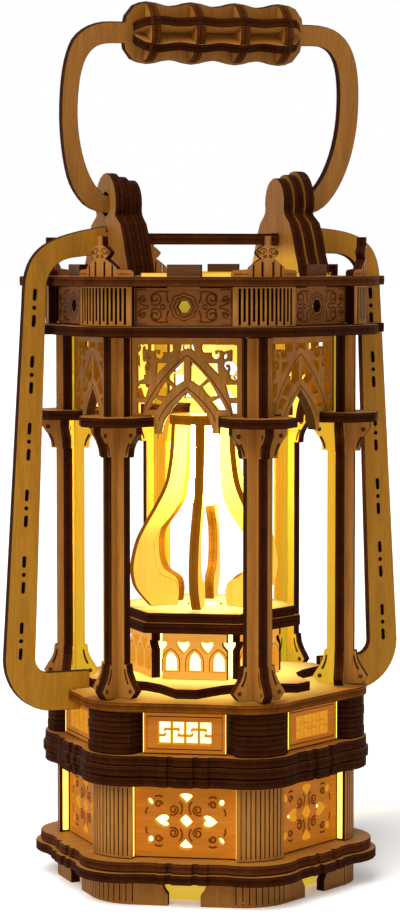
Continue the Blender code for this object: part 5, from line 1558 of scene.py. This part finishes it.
def lights():
    """Lit linings behind the pierced panels, and small lamps inside the frieze and on the lamp's base."""
    for name, outer, half, low, high, kind in (
            ("drum_diffuser", DRUM_APOTHEM - PANEL_RECESS - SHEET, 0.0152, Z_DRUM + 0.0012, Z_MID - 0.0012,
             "glow"),
            ("tier_diffuser", KEY_APOTHEM - SHEET, 0.0112, Z_BLOCK + 0.0010, Z_TIER - 0.0012, "glow"),
            ("lamp_diffuser", LAMP_DRUM_APOTHEM - SHEET, 0.0098, Z_LAMP_DRUM + 0.0006, Z_LAMP - 0.0006, "glow"),
            ("plinth_diffuser", 0.0336, 0.0120, 0.0002, Z_LOWER - 0.0008, "lit")):
        light(name, [(face, outer - LINING, low, (-half, 0.0, half, high - low), kind, kind) for face in FACES])
    piece = Piece()
    for face in FACES:
        for way in (-1, 1):
            for near, far, outer, deep, low, tall in (
                    (DRUM_TANGENT + 0.00020, DRUM_TANGENT + 0.00036, DRUM_APOTHEM - 0.0009, 0.0017, Z_DRUM,
                     DRUM_HEIGHT),
                    (KEY_HALF - 0.00012, KEY_HALF + 0.00008, KEY_APOTHEM + 0.0003, 0.0002, Z_BLOCK,
                     Z_TIER - Z_BLOCK)):
                left, right = sorted((way * near, way * far))
                piece.plate(rectangle(left, 0.0003, right, tall - 0.0006), facing(face, outer, low, deep), deep,
                            kind="seam", edge="seam")
    piece.object("joint_lights")
    light("medallion_lenses", [(face, FRIEZE_APOTHEM - PANEL_RECESS - SHEET - 0.0004, Z_FRIEZE,
                                (-0.0030, 0.0022, 0.0030, 0.0088), "amber", "edge") for face in FACES])
    light_disc("base_lamp", 0.0046, Z_RIB - GAP - 0.0016, 0.0016)
    light("roof_linings", [(face, 0.0345, Z_TOP, (-0.0130, 0.0, 0.0130, PLY + 0.0008), "lit", "lamplit_edge")
                           for face in FACES])
    light_disc("roof_lamp", 0.0075, Z_FRIEZE, 0.0012)


def turned_body(name, node, profile, finish):
    """A body of revolution through (radius, height) points, closed by flat ends."""
    steps = 40
    points, faces = [], []
    for out, up in profile:
        points += [(x, y, up) for x, y in circle((0.0, 0.0), out, steps)]
    for level in range(len(profile) - 1):
        faces += wall(level * steps, (level + 1) * steps, steps)
    faces.append(tuple(reversed(range(steps))))
    faces.append(tuple(range(steps * (len(profile) - 1), steps * len(profile))))
    mesh = meshed(name, points, faces)
    mesh.materials.append(finish)
    for polygon in mesh.polygons:
        polygon.use_smooth = len(polygon.vertices) == 4
    made = linked(name, mesh)
    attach(made, "lantern")
    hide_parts(node)


def lamp():
    low, high = Z_COLLAR + PLY - TUBE_LENGTH - GAP, Z_COLLAR + PLY - GAP
    radius = TUBE_RADIUS
    turned_body("glow_tube", "lamp_tube", [(radius * 0.55, low), (radius * 0.86, low + radius * 0.16),
                                           (radius, low + radius * 0.5), (radius, high)],
                glow_material("lit_tube", (1.0, 0.98, 0.26), 190.0))
    base, top = Z_COLLAR + PLY, Z_CORNICE - GAP
    flange, stem, rib = 0.0044, 0.0030, 0.0034
    profile = [(flange, base), (flange, base + 0.0020), (stem, base + 0.0026), (stem, base + 0.0050)]
    for ring in range(4):
        level = base + 0.0055 + 0.0040 * ring
        profile += [(stem, level), (rib, level + 0.0005), (rib, level + 0.0015), (stem, level + 0.0020)]
    profile += [(stem, top - 0.0020), (flange, top - 0.0014), (flange, top)]
    turned_body("lamp_holder", "lamp_socket", profile, glow_material("lit_holder", (1.0, 0.72, 0.15), 1.3))


# Camera, floor and light

CAMERA_AZIMUTH = -21.634
CAMERA_DISTANCE = 0.7933
CAMERA_HEIGHT = 0.1818
CAMERA_PITCH = 4.189
CAMERA_YAW = 0.104
CAMERA_LENS = 107.24
FLOOR_LIFT = 0.22           # glow that only the camera sees, which makes the floor plain white
FLOOR_HALF = 40.0
WORLD_LIGHT = 0.28


def camera():
    data = bpy.data.cameras.new("camera")
    data.sensor_width = 36.0
    data.sensor_fit = "AUTO"
    data.lens = CAMERA_LENS
    data.clip_start, data.clip_end = 0.01, 20.0
    made = linked("camera", data)
    azimuth = math.radians(CAMERA_AZIMUTH)
    made.location = (math.sin(azimuth) * CAMERA_DISTANCE, -math.cos(azimuth) * CAMERA_DISTANCE, CAMERA_HEIGHT)
    made.rotation_euler = (math.radians(90 - CAMERA_PITCH), 0.0, azimuth + math.radians(CAMERA_YAW))
    bpy.context.scene.camera = made


def sun(name, azimuth, elevation, strength, colour, softness):
    """A broad soft light from far away, so that the floor is lit evenly."""
    data = bpy.data.lights.new(name, "SUN")
    data.angle = math.radians(softness)
    data.energy = strength
    data.color = colour
    linked(name, data).rotation_euler = (math.radians(90 - elevation), 0.0, math.radians(azimuth))


def studio():
    """A white floor that keeps the shadow, two soft lights, and a backdrop that the camera sees white."""
    white = (1.0, 1.0, 1.0, 1.0)
    material, tree, shader = node_material("floor", {"Base Color": white, "Roughness": 0.9,
                                                     "Specular IOR Level": 0.0, "Emission Color": white})
    seen = output(tree, "LightPath", "Is Camera Ray")
    seen = output(tree, "Math", "Value", {0: seen, 1: FLOOR_LIFT}, operation="MULTIPLY")
    feed(shader, {"Emission Strength": seen})
    corners = rectangle(-FLOOR_HALF, -FLOOR_HALF, FLOOR_HALF, FLOOR_HALF)
    mesh = meshed("floor", [(x, y, 0.0) for x, y in corners], [(0, 1, 2, 3)])
    mesh.materials.append(material)
    floor = linked("floor", mesh)
    sun("key", CAMERA_AZIMUTH - 34, elevation=53, strength=3.1, colour=(1.0, 0.985, 0.96), softness=50.0)
    sun("fill", CAMERA_AZIMUTH + 60, elevation=60, strength=0.35, colour=(1.0, 0.99, 0.97), softness=60.0)
    world = bpy.data.worlds.new("studio")
    bpy.context.scene.world = world
    world.use_nodes = True
    tree = world.node_tree
    tree.nodes.clear()
    path = added(tree, "LightPath", {}).outputs
    seen = output(tree, "Math", "Value", {0: path["Is Camera Ray"], 1: path["Is Glossy Ray"]}, operation="ADD")
    seen = output(tree, "Math", "Value", {0: seen, 1: path["Is Transmission Ray"]}, operation="ADD",
                  use_clamp=True)
    plain, bright = (output(tree, "Background", "Background", {"Color": white, "Strength": strength})
                     for strength in (WORLD_LIGHT, 1.0))
    mix = output(tree, "MixShader", "Shader", {"Fac": seen, 1: plain, 2: bright})
    added(tree, "OutputWorld", {"Surface": mix})
    bpy.context.scene.view_settings.view_transform = "Standard"


def main():
    camera()
    for build in (plinth, lower_moulding, drum, mid_moulding, corner_blocks, key_panels, tier_plate, star_plate,
                  lamp_stand, chimney, columns, window_panels, cornice, frieze, ears, spreader, straps, bail,
                  lights, lamp):
        build()
    black = moulded_material("moulded_black", (0.03, 0.03, 0.032), 0.45)
    jacket = moulded_material("jacket", (0.45, 0.42, 0.25), 0.35, 0.6)
    for node, finish in (("battery_box", black), ("battery_cell", jacket), ("battery_door", black),
                         ("power_switch", black)):
        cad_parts[node].material_slots[0].material = finish
    studio()


main()
